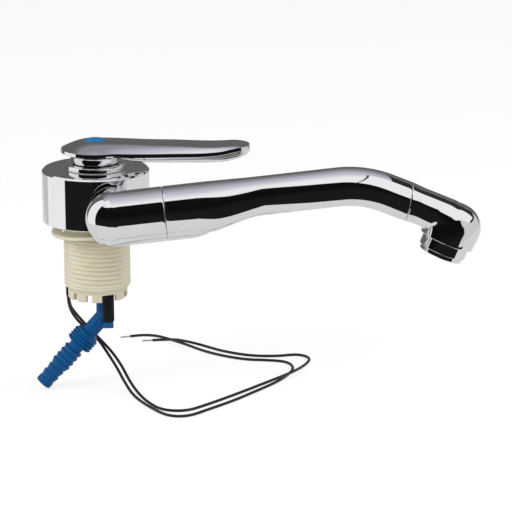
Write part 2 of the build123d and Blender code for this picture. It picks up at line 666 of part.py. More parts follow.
def pivot_seals():
    """Seal cords on the nipple."""
    cords = []
    for y in NIPPLE_RINGS:
        cord = Torus(NIPPLE_R - RING_SECTION - 0.05, RING_SECTION)
        cords.append(Pos(PIVOT_X, y, PIVOT_Z) * Rot(90, 0, 0) * cord)
    return Compound(cords)


def pivot_clip():
    """Open clip in the nipple's groove, which keeps the elbow on."""
    half = CLIP_T / 2 - SEAT
    clip = level_ring(CLIP_R, NIPPLE_R - 0.9, CLIP_Y - half, CLIP_Y + half)
    mouth = block(PIVOT_X - 2.5, PIVOT_X + 2.5, CLIP_Y - 2, CLIP_Y + 2, PIVOT_Z - 14, PIVOT_Z)
    return clip - mouth


def belly_state(x):
    """Radius and axis height of the round belly and tube at a run x: an S-shaped change."""
    t = min(max((x - BELLY_END) / (TUBE_START - BELLY_END), 0.0), 1.0)
    blend = t * t * (3 - 2 * t)
    return BELLY_R + (TUBE_R - BELLY_R) * blend, TUBE_RISE * blend


def across(x, radius, height):
    """Round section square to x in the spout's frame."""
    return Plane(origin=(x, 0, height), x_dir=(0, 1, 0), z_dir=(1, 0, 0)) * Circle(radius)


def swept_belly(shrink):
    """Belly and straight tube from the elbow to the bend, drawn in by a wall."""
    stations = [BELLY_END + (TUBE_START - BELLY_END) * i / 6 for i in range(7)]
    sections = []
    for x in stations:
        radius, height = belly_state(x)
        sections.append(across(x, radius - shrink, height))
    swell = loft(sections)
    front = extrude(across(0, BELLY_R - shrink, 0), BELLY_END)
    tube = extrude(across(TUBE_START, TUBE_R - shrink, TUBE_RISE), BEND_START - TUBE_START)
    return front + swell + tube


def bend_and_nozzle(radius, run):
    """Bend of the tube and the straight run after it."""
    centre = (BEND_START, 0, TUBE_RISE - BEND_R)
    axis = Axis(centre, (0, 1, 0))
    bend = revolve(across(BEND_START, radius, TUBE_RISE), axis, BEND)
    after = nozzle_place(0) * (Rot(0, 90, 0) * Cylinder(radius, run, align=BASE))
    return bend + after


def nozzle_place(run):
    """Place on the nozzle's axis, with x along the nozzle and z across it."""
    turn = math.radians(BEND)
    x = BEND_START + BEND_R * math.sin(turn) + run * math.cos(turn)
    z = TUBE_RISE - BEND_R * (1 - math.cos(turn)) - run * math.sin(turn)
    return Pos(x, 0, z) * Rot(0, BEND, 0)


def outlet_place():
    """Place where the outlet's axis crosses the nozzle's axis."""
    return nozzle_place(OUTLET_RUN)


def spout_place():
    """Place of the spout's own frame in the tap."""
    return Pos(PIVOT_X, SPOUT_Y, PIVOT_Z) * Rot(0, -REST_SLOPE, 0)


def keel():
    """Shallow keel under the root, whose edge shows as a crease and fades out."""
    nose = across(KEEL_START, KEEL_R - 1.4, -KEEL_DROP)
    full = across(KEEL_START + 12, KEEL_R, -KEEL_DROP)
    fading = []
    for i in range(6):
        t = i / 5
        blend = t * t * (3 - 2 * t)
        x = KEEL_FADE + (KEEL_END - KEEL_FADE) * t
        fading.append(across(x, KEEL_R - 2.4 * blend, -KEEL_DROP + 3.6 * blend))
    straight = extrude(full, KEEL_FADE - KEEL_START - 12)
    return loft([nose, full]) + straight + loft(fading)


def seam_1_cut(offset):
    """Everything past the first seam."""
    return Pos(SEAM_1_X + offset, 0, 0) * Box(CUTTER, CUTTER, CUTTER, align=FORWARD)


def seam_2_cut(offset):
    """Everything past the second seam, which leans back to upright."""
    place = nozzle_place(SEAM_2_RUN + offset) * Rot(0, -SEAM_2_TILT, 0)
    return place * Box(CUTTER, CUTTER, CUTTER, align=FORWARD)


def spout_elbow():
    """Rounded root of the spout, which turns on the nipple."""
    outside = Sphere(ELBOW_R) + extrude(across(0, BELLY_R, 0), SEAM_1_X) + keel()
    inside = Sphere(ELBOW_R - SPOUT_WALL)
    inside += extrude(across(0, BELLY_R - SPOUT_WALL, 0), SEAM_1_X + 2)
    reach = NECK_START_Y - SPOUT_Y
    neck = Rot(-90, 0, 0) * Cylinder(BOSS_R, reach, align=BASE)
    hub = Rot(-90, 0, 0) * Cylinder(BOSS_R - 0.6, reach, align=BASE)
    hub -= Rot(-90, 0, 0) * Cylinder(BOSS_R, CLIP_Y + CLIP_T / 2 - SPOUT_Y, align=BASE)
    elbow = outside + neck - inside + hub
    elbow -= Rot(-90, 0, 0) * Cylinder(NIPPLE_R + RUN, reach + 1, align=BASE)
    elbow -= Rot(-90, 0, 0) * Cylinder(CLIP_R + GAP, CLIP_Y + CLIP_T / 2 - SPOUT_Y, align=BASE)
    elbow -= seam_1_cut(-SEAM_GAP / 2)
    return spout_place() * elbow


def root_sleeve():
    """Sleeve inside the first seam that joins elbow and tube."""
    start = SEAM_1_X - JOINT_SLEEVE / 2
    sleeve = extrude(across(start, ROOT_SLEEVE_R, 0), JOINT_SLEEVE)
    sleeve -= extrude(across(start, ROOT_SLEEVE_R - ROOT_SLEEVE_WALL, 0), JOINT_SLEEVE)
    return spout_place() * sleeve


def spout_tube():
    """Belly, straight tube and bend, between the two seams."""
    run = SEAM_2_RUN + 12
    outside = swept_belly(0) + keel() + bend_and_nozzle(TUBE_R, run)
    inside = swept_belly(SPOUT_WALL) + bend_and_nozzle(TUBE_R - SPOUT_WALL, run + 1)
    tube = outside - inside
    tube = tube & seam_1_cut(SEAM_GAP / 2)
    tube -= seam_2_cut(-SEAM_GAP / 2)
    return spout_place() * tube


def tip_sleeve():
    """Sleeve inside the second seam that joins tube and nozzle."""
    place = nozzle_place(SEAM_2_RUN - JOINT_SLEEVE / 2) * Rot(0, 90, 0)
    sleeve = Cylinder(TIP_SLEEVE_R, JOINT_SLEEVE, align=BASE)
    sleeve -= Cylinder(TIP_SLEEVE_R - TIP_SLEEVE_WALL, JOINT_SLEEVE, align=BASE)
    return spout_place() * place * sleeve


def across_nozzle(run, radius, drop):
    """Round section square to the nozzle's axis, counted from the outlet's axis."""
    plane = Plane(origin=(run, 0, -drop), x_dir=(0, 1, 0), z_dir=(1, 0, 0))
    return plane * Circle(radius)


def nozzle_head():
    """Upright round head over the outlet, narrow on top and as wide as the skirt below."""
    fillet_r = HEAD_R - HEAD_FLAT
    middle = fillet_r * math.sqrt(0.5)
    side_z = HEAD_TOP - fillet_r
    top_round = ThreePointArc((HEAD_FLAT, 0, HEAD_TOP), (HEAD_FLAT + middle, 0, side_z + middle),
                              (HEAD_R, 0, side_z))
    rest = Polyline((HEAD_R, 0, side_z), (SKIRT_R, 0, -SKIRT_LOW), (0, 0, -SKIRT_LOW),
                    (0, 0, HEAD_TOP), (HEAD_FLAT, 0, HEAD_TOP))
    whole = revolve(make_face([*top_round.edges(), *rest.edges()]), Axis.Z, 360)
    back = -HEAD_R - 1
    crown = ThreePointArc((back, CHEEK_HALF, CHEEK_Z), (back, 0, HEAD_TOP + SEAT),
                          (back, -CHEEK_HALF, CHEEK_Z))
    width, level = CHEEK_MIDDLE
    cheeks = Polyline((back, -CHEEK_HALF, CHEEK_Z), (back, -width, level), (back, -HEAD_R, CHEEK_FOOT_Z),
                      (back, -HEAD_R, -SKIRT_LOW - 1), (back, HEAD_R, -SKIRT_LOW - 1),
                      (back, HEAD_R, CHEEK_FOOT_Z), (back, width, level), (back, CHEEK_HALF, CHEEK_Z))
    outline = make_face([*crown.edges(), *cheeks.edges()])
    return whole & extrude(outline, 2 * HEAD_R + 2, dir=(1, 0, 0))


def spout_nozzle():
    """Nozzle with its rounded head and the skirt round the outlet."""
    taper = loft([across_nozzle(-OUTLET_RUN, TUBE_R, 0), across_nozzle(-FLARE_START, NOZZLE_R, 0)])
    flare_ends = [(-FLARE_START, NOZZLE_R, 0), (-FLARE_END, FLARE_R, FLARE_DROP)]
    flare = loft([across_nozzle(*end) for end in flare_ends])
    outside = taper + flare + nozzle_head()
    outside -= Pos(0, 0, -SKIRT_LOW) * Cylinder(40, 40, align=TOP)
    wall = SPOUT_WALL
    inside = extrude(across_nozzle(-OUTLET_RUN, NOZZLE_R - wall, 0), OUTLET_RUN)
    chamber_r = HEAD_R - wall - 2.4
    centre_z = HEAD_TOP - HEAD_R
    inside += Pos(0, 0, centre_z) * Sphere(chamber_r)
    bore = Cylinder(OUTLET_THREAD_R, SKIRT_LOW + 1 + centre_z, align=BASE)
    inside += Pos(0, 0, -SKIRT_LOW - 1) * bore
    nozzle = outlet_place() * (outside - inside)
    nozzle = nozzle & seam_2_cut(SEAM_GAP / 2)
    return spout_place() * nozzle


def outlet_ring(outer, inner, low, high):
    """Tube about the outlet's axis, between two depths below the nozzle's axis."""
    height = high - low
    return Pos(0, 0, -high) * (Cylinder(outer, height, align=BASE) - Cylinder(inner, height, align=BASE))


def aerator_ring():
    """Screwed ring that carries the aerator, stepped twice."""
    top = SKIRT_LOW + SEAM_GAP
    ring_body = outlet_ring(AERATOR_R, AERATOR_BORE_R, top, AERATOR_STEP)
    lip = outlet_ring(AERATOR_LIP_R, AERATOR_BORE_R - 0.8, AERATOR_STEP, AERATOR_LOW)
    thread = outlet_ring(OUTLET_THREAD_R - GRIP, AERATOR_BORE_R, SKIRT_LOW - AERATOR_THREAD, top)
    return spout_place() * outlet_place() * (ring_body + lip + thread)


def aerator_insert():
    """Honeycomb of the aerator: a rim with crossed ribs."""
    bore = AERATOR_BORE_R - RUN
    high = AERATOR_STEP - 0.2
    low = high - INSERT_HEIGHT
    insert = outlet_ring(bore, bore - 1.6, low, high)
    for i in range(-3, 4):
        place = i * 2.6
        length = 2 * math.sqrt((bore - 1.0) ** 2 - place ** 2)
        rib = Pos(0, place, -high) * Box(length, 0.7, 2.0, align=BASE)
        cross = Pos(place, 0, -high) * Box(0.7, length, 2.0, align=BASE)
        insert = insert + rib + cross
    return spout_place() * outlet_place() * insert


def aerator_gasket():
    """Flat rubber ring above the aerator."""
    level = SKIRT_LOW - AERATOR_THREAD
    gasket = outlet_ring(OUTLET_THREAD_R - GAP, AERATOR_BORE_R - 2.4, level - 1.6, level - 0.1)
    return spout_place() * outlet_place() * gasket


def aerator_screen():
    """Dished sieve between gasket and honeycomb."""
    high = AERATOR_STEP - 0.2 - INSERT_HEIGHT - SEAT
    screen = outlet_ring(AERATOR_BORE_R - 0.2, 1.2, high - 0.6, high)
    return spout_place() * outlet_place() * screen


def water_pipe():
    """Pipe that leads the water through the hollow spout."""
    turn_centre = (BEND_START, 0, TUBE_RISE - BEND_R)
    rise = [(BELLY_END, 0, 0), (TUBE_START, 0, TUBE_RISE), (BEND_START, 0, TUBE_RISE)]
    solids = []
    for radius in (PIPE_R, PIPE_BORE_R):
        grow = 0.0 if radius == PIPE_R else 1.0
        start = (PIPE_START - grow, 0, 0)
        route = FilletPolyline(start, *rise, radius=[PIPE_TURN_R, PIPE_TURN_R])
        straight = sweep(across(start[0], radius, 0), path=route)
        bend = revolve(across(BEND_START, radius, TUBE_RISE), Axis(turn_centre, (0, 1, 0)), BEND)
        end = Rot(0, 90, 0) * Cylinder(radius, PIPE_TIP_RUN + grow, align=BASE)
        after = nozzle_place(0) * end
        solids.append(straight + bend + after)
    pipe = solids[0] - solids[1]
    flange = extrude(across(PIPE_START, BELLY_R - SPOUT_WALL - 0.1, 0), 3)
    flange -= extrude(across(PIPE_START - 1, PIPE_BORE_R, 0), 6)
    collar = Cylinder(PIPE_COLLAR_R, 3, align=BASE) - Cylinder(PIPE_BORE_R, 3, align=BASE)
    collar = nozzle_place(PIPE_TIP_RUN - 3) * (Rot(0, 90, 0) * collar)
    return spout_place() * (pipe + flange + collar)


def crown_section(x, half, rim, shoulder, level, ridge):
    """Cross-section of the arm at a reach x: upright sides, flanks and a low crown."""
    low = ARM_UNDERSIDE[6][1] - 2
    top = ThreePointArc((x, shoulder, level), (x, 0, ridge), (x, -shoulder, level))
    base = Polyline((x, -shoulder, level), (x, -half, rim), (x, -half, low), (x, half, low),
                    (x, half, rim), (x, shoulder, level))
    return make_face([*top.edges(), *base.edges()])


def arm_under():
    """Everything below the arm's underside, seen from the front."""
    low = ARM_UNDERSIDE[6][1] - 10
    curve = Spline(*[(x, 0, z) for x, z in ARM_UNDERSIDE])
    start, end = curve.position_at(0), curve.position_at(1)
    rest = Polyline(end, (end.X, 0, low), (start.X - 60, 0, low), (start.X - 60, 0, start.Z), start)
    return extrude(make_face([curve, *rest.edges()]), HUB_R + 2, both=True)


def lever_handle():
    """Cast lever: low domed hub, wide flat arm with a thumb dish, hollow underside."""
    drop = CROWN_Z - SHOULDER_Z
    dome_r = (SHOULDER_R ** 2 + drop ** 2) / (2 * drop)
    dome = Pos(0, 0, CROWN_Z - dome_r) * Sphere(dome_r)
    dome = dome & rod(SHOULDER_R, HUB_UNDER_Z, CROWN_Z + 1)
    dome += turned([(0, HUB_UNDER_Z), (HUB_R, HUB_UNDER_Z), (HUB_R, HUB_EDGE_Z),
                    (SHOULDER_R, SHOULDER_Z), (0, SHOULDER_Z)])
    arm = loft([crown_section(*section) for section in ARM_SECTIONS])
    tip_x = LEVER_REACH - ARM_TIP_LENGTH
    tip = Pos(tip_x, 0, 0) * extrude(Ellipse(ARM_TIP_LENGTH, ARM_TIP_HALF), CROWN_Z + 5)
    keep = block(0, tip_x, -HUB_R, HUB_R, 0, CROWN_Z + 5) + tip
    solid = dome + (arm & keep) - arm_under()
    solid -= rod(BALL_R + 2.4, HUB_UNDER_Z - 10, HUB_UNDER_Z)
    solid -= block(BALL_R + 2.4 + ARM_WALL, HOLLOW_END, -HOLLOW_HALF, HOLLOW_HALF,
                   HUB_UNDER_Z - 10, HOLLOW_TOP)
    solid -= rod(BALL_SEAT_R, HUB_UNDER_Z - 5, HUB_UNDER_Z + BALL_SEAT_T)
    solid -= rod(HANDLE_SCREW_R + 0.2, HUB_UNDER_Z - 1, CROWN_Z + 1)
    solid -= rod(HANDLE_SCREW_HEAD_R + 0.2, CROWN_Z - CAP_T - HANDLE_SCREW_HEAD_T - 0.3, CROWN_Z + 1)
    solid -= rod(CAP_R + 0.05, CROWN_Z - CAP_T - 0.2, CROWN_Z + 1)
    return solid - Pos(DISH_X, 0, DISH_Z + DISH_R) * Sphere(DISH_R)


def lever_ball():
    """Chromed bowl under the hub, part of a ball about the tilt centre."""
    flare_z = HUB_UNDER_Z
    ball = Pos(0, 0, BALL_Z) * Sphere(BALL_R)
    ball -= Pos(0, 0, BALL_Z) * Sphere(BALL_R - BALL_WALL)
    ball -= rod(40, BALL_CUT - 40, BALL_CUT)
    ball -= rod(40, flare_z - 0.05, flare_z + 40)
    flare = turned([
        (BALL_R - 1.6, BALL_Z - 1.6), (BALL_R - 0.1, BALL_Z - 1.6), (BALL_R + 0.4, BALL_Z - 0.7),
        (BALL_R + 1.3, flare_z - 0.3), (BALL_R + 2.0, flare_z - 0.05),
        (BALL_R - 1.6, flare_z - 0.05),
    ])
    web = rod(BALL_R - 0.5, BALL_Z - 3.0, flare_z - 0.05)
    web += rod(BALL_SEAT_R - 0.1, BALL_Z, flare_z + BALL_SEAT_T - 0.1)
    web -= rod(SPINDLE_SEAT_R + GRIP, BALL_Z - 4, BALL_Z + 3.0)
    web -= rod(HANDLE_SCREW_R + 0.1, BALL_Z, BALL_Z + 5)
    web = web & (Pos(0, 0, BALL_Z) * Sphere(BALL_R) + rod(BALL_SEAT_R, BALL_Z, CROWN_Z))
    return ball + flare + web


def lever_spindle():
    """Steel spindle from the bowl down to the carrier's socket."""
    low = BALL_Z - SPINDLE_DEPTH
    spindle = rod(SPINDLE_R, low, BALL_Z - 3.0) + rod(SPINDLE_SEAT_R, BALL_Z - 3.0, BALL_Z + 2.0)
    spindle += Pos(0, 0, low) * Sphere(SPINDLE_BALL_R)
    return spindle - rod(HANDLE_SCREW_R, BALL_Z - 1.5, BALL_Z + 3)


def handle_screw():
    """Screw under the cap that holds the lever on its spindle."""
    high = CROWN_Z - CAP_T - 0.3
    screw = rod(HANDLE_SCREW_R - GRIP, BALL_Z - 1.0, high - HANDLE_SCREW_HEAD_T)
    screw += rod(HANDLE_SCREW_HEAD_R, high - HANDLE_SCREW_HEAD_T, high)
    socket = extrude(Pos(0, 0, high - 1.4) * RegularPolygon(1.6, 6), 3)
    return screw - socket


def index_cap():
    """Blue cap on the hub that marks cold water."""
    low = CROWN_Z - CAP_T
    high = CROWN_Z + CAP_RISE
    cap = rod(CAP_R, low - 0.1, high)
    return cap & (Pos(0, 0, high - CAP_DOME_R) * Sphere(CAP_DOME_R))


def corner_radii(points):
    """Largest arc at each corner that the two runs beside it allow."""
    radii = []
    for before, here, after in zip(points, points[1:], points[2:]):
        run_in = Vector(*here) - Vector(*before)
        run_out = Vector(*after) - Vector(*here)
        half = math.radians(run_in.get_angle(run_out)) / 2
        radii.append(0.45 * min(run_in.length, run_out.length) / math.tan(half))
    return radii


def wire(name, points):
    """Round wire along straight runs joined by tangent arcs."""
    radii = corner_radii(points)
    path = FilletPolyline(*points, radius=radii)
    start = Vector(*points[1]) - Vector(*points[0])
    section = Plane(origin=points[0], z_dir=start) * Circle(WIRE_R)
    solid = sweep(section, path=path)
    length = path.length
    share = solid.volume / (math.pi * WIRE_R ** 2 * length)
    print(name, "length", round(length, 1), "least radius", round(min(radii), 2))
    print(name, "volume over section times length", round(share, 4))
    return solid


def wire_tip(points):
    """Bared and tinned end of a wire, in line with its last run."""
    end = Vector(*points[-1])
    heading = (end - Vector(*points[-2])).normalized()
    place = Location(Plane(origin=end, z_dir=heading))
    return place * Cylinder(TIP_R, TIP_LENGTH, align=BASE)


PARTS = {
    "threaded_shank": threaded_shank,
    "base_seal": base_seal,
    "valve_column": valve_column,
    "column_screws": column_screws,
    "column_seals": column_seals,
    "cartridge_case": cartridge_case,
    "fixed_disc": fixed_disc,
    "moving_disc": moving_disc,
    "disc_carrier": disc_carrier,
    "switch_case": switch_case,
    "switch_plunger": switch_plunger,
    "switch_leads": switch_leads,
    "wire_grommet": wire_grommet,
    "cold_inlet_tube": cold_inlet_tube,
    "spare_inlet_tube": spare_inlet_tube,
    "blanking_sleeve": blanking_sleeve,
    "connector_seal": connector_seal,
    "hose_connector": hose_connector,
    "collar_nut": collar_nut,
    "body_shell": body_shell,
    "pivot_washer": pivot_washer,
    "pivot_seals": pivot_seals,
    "pivot_clip": pivot_clip,
    "spout_elbow": spout_elbow,
    "root_sleeve": root_sleeve,
    "spout_tube": spout_tube,
    "tip_sleeve": tip_sleeve,
    "spout_nozzle": spout_nozzle,
    "water_pipe": water_pipe,
    "aerator_ring": aerator_ring,
    "aerator_insert": aerator_insert,
    "aerator_gasket": aerator_gasket,
    "aerator_screen": aerator_screen,
    "lever_handle": lever_handle,
    "lever_ball": lever_ball,
    "lever_spindle": lever_spindle,
    "handle_screw": handle_screw,
    "index_cap": index_cap,
}

os.makedirs("parts", exist_ok=True)
for part_name, make in PARTS.items():
    export_step(make(), f"parts/{part_name}.step")
for part_name, route in (("a", WIRE_A), ("b", WIRE_B)):
    export_step(wire("wire " + part_name, route), f"parts/switch_wire_{part_name}.step")
    export_step(wire_tip(route), f"parts/wire_tip_{part_name}.step")
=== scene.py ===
"""Looks of a folding cold water tap: chromed skins, moulded plastics, wires and the studio."""

import json
import logging
import math
from collections.abc import Sequence
from dataclasses import dataclass
from enum import Enum
from typing import ClassVar

import bmesh
import bpy
import numpy as np
from mathutils import Matrix, Vector

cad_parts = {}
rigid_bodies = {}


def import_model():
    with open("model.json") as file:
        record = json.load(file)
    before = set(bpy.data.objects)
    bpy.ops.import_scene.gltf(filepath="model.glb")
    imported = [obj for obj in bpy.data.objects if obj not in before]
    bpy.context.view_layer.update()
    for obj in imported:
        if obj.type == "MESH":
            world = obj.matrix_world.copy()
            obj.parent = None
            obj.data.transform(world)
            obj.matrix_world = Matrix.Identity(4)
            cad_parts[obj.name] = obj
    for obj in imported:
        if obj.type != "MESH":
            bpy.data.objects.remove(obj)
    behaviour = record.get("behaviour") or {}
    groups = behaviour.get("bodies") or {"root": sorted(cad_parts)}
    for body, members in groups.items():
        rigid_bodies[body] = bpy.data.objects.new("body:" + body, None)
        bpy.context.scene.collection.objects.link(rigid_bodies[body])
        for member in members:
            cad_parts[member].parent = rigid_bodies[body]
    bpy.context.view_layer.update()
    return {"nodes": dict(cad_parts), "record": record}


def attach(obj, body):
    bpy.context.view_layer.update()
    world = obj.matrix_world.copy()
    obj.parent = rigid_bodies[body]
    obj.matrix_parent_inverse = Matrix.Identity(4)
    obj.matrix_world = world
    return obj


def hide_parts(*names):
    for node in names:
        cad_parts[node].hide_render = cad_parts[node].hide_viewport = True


for left_over in list(bpy.data.objects):
    bpy.data.objects.remove(left_over)
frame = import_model()

LOG = logging.getLogger("tap")
MM = 0.001

# A point, a direction or a linear colour
Triple = tuple[float, float, float]
# Two ends of a range
Span = tuple[float, float]
# Rows of measures
Table = Sequence[tuple[float, ...]]
# Share of the way and brightness there, as a grey or a colour
Stops = Sequence[tuple[float, float | Triple]]


class Slot(Enum):
    """Material slots of the record."""

    CHROME = "chrome"
    NYLON = "nylon"
    SEAL = "seal"
    ACETAL = "acetal"
    CERAMIC = "ceramic"
    BLACK_RUBBER = "black_rubber"
    STEEL = "steel"
    BRASS = "brass"
    BLUE = "blue"
    CAP_BLUE = "cap_blue"
    BLACK_PLASTIC = "black_plastic"
    WIRE = "wire"
    TINNED = "tinned"


# Materials


class Nodes:
    """Short way to fill the node tree of a material or of the world."""

    # Range that nearly all noise lies in
    NOISE: ClassVar[Span] = (0.3, 0.7)

    def __init__(self, owner: bpy.types.Material | bpy.types.World) -> None:
        """Start an empty tree.

        Args:
            owner: Material or world that the tree is for.
        """
        owner.use_nodes = True
        self.owner = owner
        self.tree = owner.node_tree
        self.tree.nodes.clear()

    def add(self, kind: str, **settings: object) -> bpy.types.Node:
        """Add a node and set its options and its unlinked sockets.

        Args:
            kind: Node type without the leading "ShaderNode".
            settings: Node attributes, or socket values, whose names start with "in_" and
                go on with the socket's name, with underscores for spaces, or its number.

        Returns:
            The new node.
        """
        node = self.tree.nodes.new("ShaderNode" + kind)
        for key, value in settings.items():
            if key.startswith("in_"):
                socket = key[3:]
                place = int(socket) if socket.isdigit() else socket.replace("_", " ")
                node.inputs[place].default_value = value
            else:
                setattr(node, key, value)
        return node

    def link(self, source: bpy.types.NodeSocket, target: bpy.types.NodeSocket) -> None:
        """Join an output to an input."""
        self.tree.links.new(source, target)

    def ramp(self, source: bpy.types.NodeSocket, low: float, high: float,
             out_low: float, out_high: float) -> bpy.types.NodeSocket:
        """Spread a value from one range over another.

        Args:
            source: Value to change.
            low: Start of its range.
            high: End of its range.
            out_low: New start.
            out_high: New end.

        Returns:
            The changed value.
        """
        node = self.add("MapRange", in_From_Min=low, in_From_Max=high, in_To_Min=out_low,
                        in_To_Max=out_high)
        self.link(source, node.inputs["Value"])
        return node.outputs["Result"]

    def noise(self, scale: float, detail: float = 3.0,
              stretch: Triple = (1.0, 1.0, 1.0)) -> bpy.types.NodeSocket:
        """Noise in the piece's own coordinates.

        Args:
            scale: Noise cells per metre, roughly.
            detail: Octaves.
            stretch: Factors along the three axes.

        Returns:
            The noise value.
        """
        place = self.add("TexCoord")
        mapping = self.add("Mapping", in_Scale=stretch)
        node = self.add("TexNoise", in_Scale=scale, in_Detail=detail)
        self.link(place.outputs["Object"], mapping.inputs["Vector"])
        self.link(mapping.outputs["Vector"], node.inputs["Vector"])
        return node.outputs["Fac"]

    def tint(self, value: bpy.types.NodeSocket, dark: Triple, light: Triple) -> bpy.types.NodeSocket:
        """Colour between two tones, over the range that nearly all noise lies in.

        Args:
            value: Noise that mixes them.
            dark: Tone at the low end.
            light: Tone at the high end.

        Returns:
            The colour.
        """
        node = self.add("ValToRGB")
        for element, position, tone in zip(node.color_ramp.elements, self.NOISE, (dark, light)):
            element.position = position
            element.color = (*tone, 1.0)
        self.link(value, node.inputs["Fac"])
        return node.outputs["Color"]

    def bump(self, height: bpy.types.NodeSocket, distance: float,
             strength: float = 1.0) -> bpy.types.NodeSocket:
        """Bump normal from a height.

        Args:
            height: The height, from 0 to 1.
            distance: Metres that this range stands for.
            strength: Share of the bump that shows.

        Returns:
            The normal.
        """
        node = self.add("Bump", in_Strength=strength, in_Distance=distance)
        self.link(height, node.inputs["Height"])
        return node.outputs["Normal"]

    def seen_directly(self) -> bpy.types.NodeSocket:
        """1 for camera, glossy and transmitted rays, 0 for the rays that carry light."""
        path = self.add("LightPath")
        total = path.outputs["Is Camera Ray"]
        for name in ("Is Glossy Ray", "Is Transmission Ray"):
            both = self.add("Math", operation="MAXIMUM")
            self.link(total, both.inputs[0])
            self.link(path.outputs[name], both.inputs[1])
            total = both.outputs[0]
        return total

    def finish(self, shader: bpy.types.Node) -> bpy.types.Material | bpy.types.World:
        """Send a shader to the output and return the tree's owner."""
        out = self.add("OutputWorld" if isinstance(self.owner, bpy.types.World) else "OutputMaterial")
        self.link(shader.outputs[0], out.inputs["Surface"])
        return self.owner


@dataclass(frozen=True)
class Finish:
    """A finish with mottled colour, mottled gloss and a fine grain.

    Attributes:
        slot: Material slot that it belongs to.
        dark: Darker tone, linear.
        light: Lighter tone, linear.
        metallic: 1 for bare metal.
        gloss: Roughness range.
        mottle: Scale of the mottle, in cells per metre.
        grain: Scale of the grain, in cells per metre.
        depth: Height of the grain in metres.
        coat: Weight of a clear glossy layer.
        bleed: Share of light that goes through the skin of the material.
        bleed_depth: How far that light goes, in metres.
        shine: Strength of the surface's own reflection, 0.5 for a common plastic.
    """

    slot: Slot
    dark: Triple
    light: Triple
    metallic: float = 0.0
    gloss: Span = (0.4, 0.5)
    mottle: float = 60.0
    grain: float = 900.0
    depth: float = 0.00002
    coat: float = 0.0
    bleed: float = 0.0
    bleed_depth: float = 0.002
    shine: float = 0.5

    def material(self) -> bpy.types.Material:
        """Build the material: one noise mottles colour and gloss, and a finer one is the grain."""
        tree = Nodes(bpy.data.materials.new(self.slot.value))
        mottle = tree.noise(self.mottle)
        return self.shaded(tree, mottle, mottle, tree.noise(self.grain, 2.0))

    def shaded(self, tree: Nodes, tone: bpy.types.NodeSocket, gloss: bpy.types.NodeSocket,
               height: bpy.types.NodeSocket) -> bpy.types.Material:
        """Join three noises into a material.

        Args:
            tree: The material's nodes.
            tone: Noise that mixes the two tones.
            gloss: Noise that spreads the roughness over its range.
            height: Noise that raises the surface.

        Returns:
            The material.
        """
        shader = tree.add("BsdfPrincipled", in_Metallic=self.metallic, in_Specular_IOR_Level=self.shine,
                          in_Coat_Weight=self.coat, in_Subsurface_Weight=self.bleed,
                          in_Subsurface_Scale=self.bleed_depth)
        tree.link(tree.tint(tone, self.dark, self.light), shader.inputs["Base Color"])
        tree.link(tree.ramp(gloss, *tree.NOISE, *self.gloss), shader.inputs["Roughness"])
        tree.link(tree.bump(height, self.depth), shader.inputs["Normal"])
        return tree.finish(shader)


@dataclass(frozen=True)
class TurnedMetal(Finish):
    """Metal with the fine rings that a lathe leaves, about an upright axis.

    Attributes:
        pitch: Distance between the rings, in metres.
        stretch: Factors that draw the noise out flat, round the axis.
    """

    pitch: float = 0.0003
    stretch: Triple = (0.02, 0.02, 1.0)

    def material(self) -> bpy.types.Material:
        """Build the material: noise drawn out flat round the axis stands for the tool's rings."""
        tree = Nodes(bpy.data.materials.new(self.slot.value))
        rings = tree.noise(1.0 / self.pitch, 2.0, self.stretch)
        return self.shaded(tree, tree.noise(self.mottle), rings, rings)


FINISHES = [
    Finish(Slot.CHROME, (0.78, 0.785, 0.80), (0.83, 0.83, 0.84), 1.0, (0.025, 0.055), 25.0,
           260.0, 0.0000015),
    Finish(Slot.NYLON, (0.70, 0.635, 0.475), (0.80, 0.745, 0.60), 0.0, (0.42, 0.58), 45.0,
           1500.0, 0.00003, bleed=0.18),
    Finish(Slot.SEAL, (0.75, 0.70, 0.54), (0.82, 0.775, 0.62), 0.0, (0.55, 0.7), 70.0,
           1800.0, 0.00003),
    Finish(Slot.ACETAL, (0.74, 0.73, 0.69), (0.82, 0.81, 0.77), 0.0, (0.3, 0.42), 90.0,
           1500.0, 0.00001),
    Finish(Slot.CERAMIC, (0.84, 0.82, 0.76), (0.90, 0.88, 0.83), 0.0, (0.12, 0.22), 120.0,
           2400.0, 0.000004, coat=0.2),
    Finish(Slot.BLACK_RUBBER, (0.007, 0.007, 0.007), (0.013, 0.013, 0.0135), 0.0, (0.45, 0.6),
           130.0, 2000.0, 0.00002, shine=0.15),
    TurnedMetal(Slot.STEEL, (0.5, 0.5, 0.51), (0.6, 0.6, 0.61), 1.0, (0.2, 0.34), 90.0,
                depth=0.000004),
    TurnedMetal(Slot.BRASS, (0.62, 0.42, 0.16), (0.72, 0.52, 0.24), 1.0, (0.2, 0.36), 80.0,
                depth=0.000005),
    Finish(Slot.BLUE, (0.003, 0.078, 0.24), (0.005, 0.11, 0.32), 0.0, (0.27, 0.36), 75.0,
           1300.0, 0.00001, coat=0.03, shine=0.14),
    Finish(Slot.CAP_BLUE, (0.008, 0.19, 0.47), (0.012, 0.22, 0.53), 0.0, (0.2, 0.28), 160.0,
           1500.0, 0.000004, coat=0.15, shine=0.3),
    Finish(Slot.BLACK_PLASTIC, (0.010, 0.010, 0.011), (0.018, 0.018, 0.019), 0.0, (0.35, 0.45),
           120.0, 1500.0, 0.00001),
    Finish(Slot.WIRE, (0.008, 0.008, 0.008), (0.014, 0.014, 0.0145), 0.0, (0.28, 0.4), 90.0,
           1100.0, 0.00001),
    Finish(Slot.TINNED, (0.55, 0.48, 0.34), (0.72, 0.67, 0.52), 1.0, (0.25, 0.42), 400.0,
           3000.0, 0.00003),
]


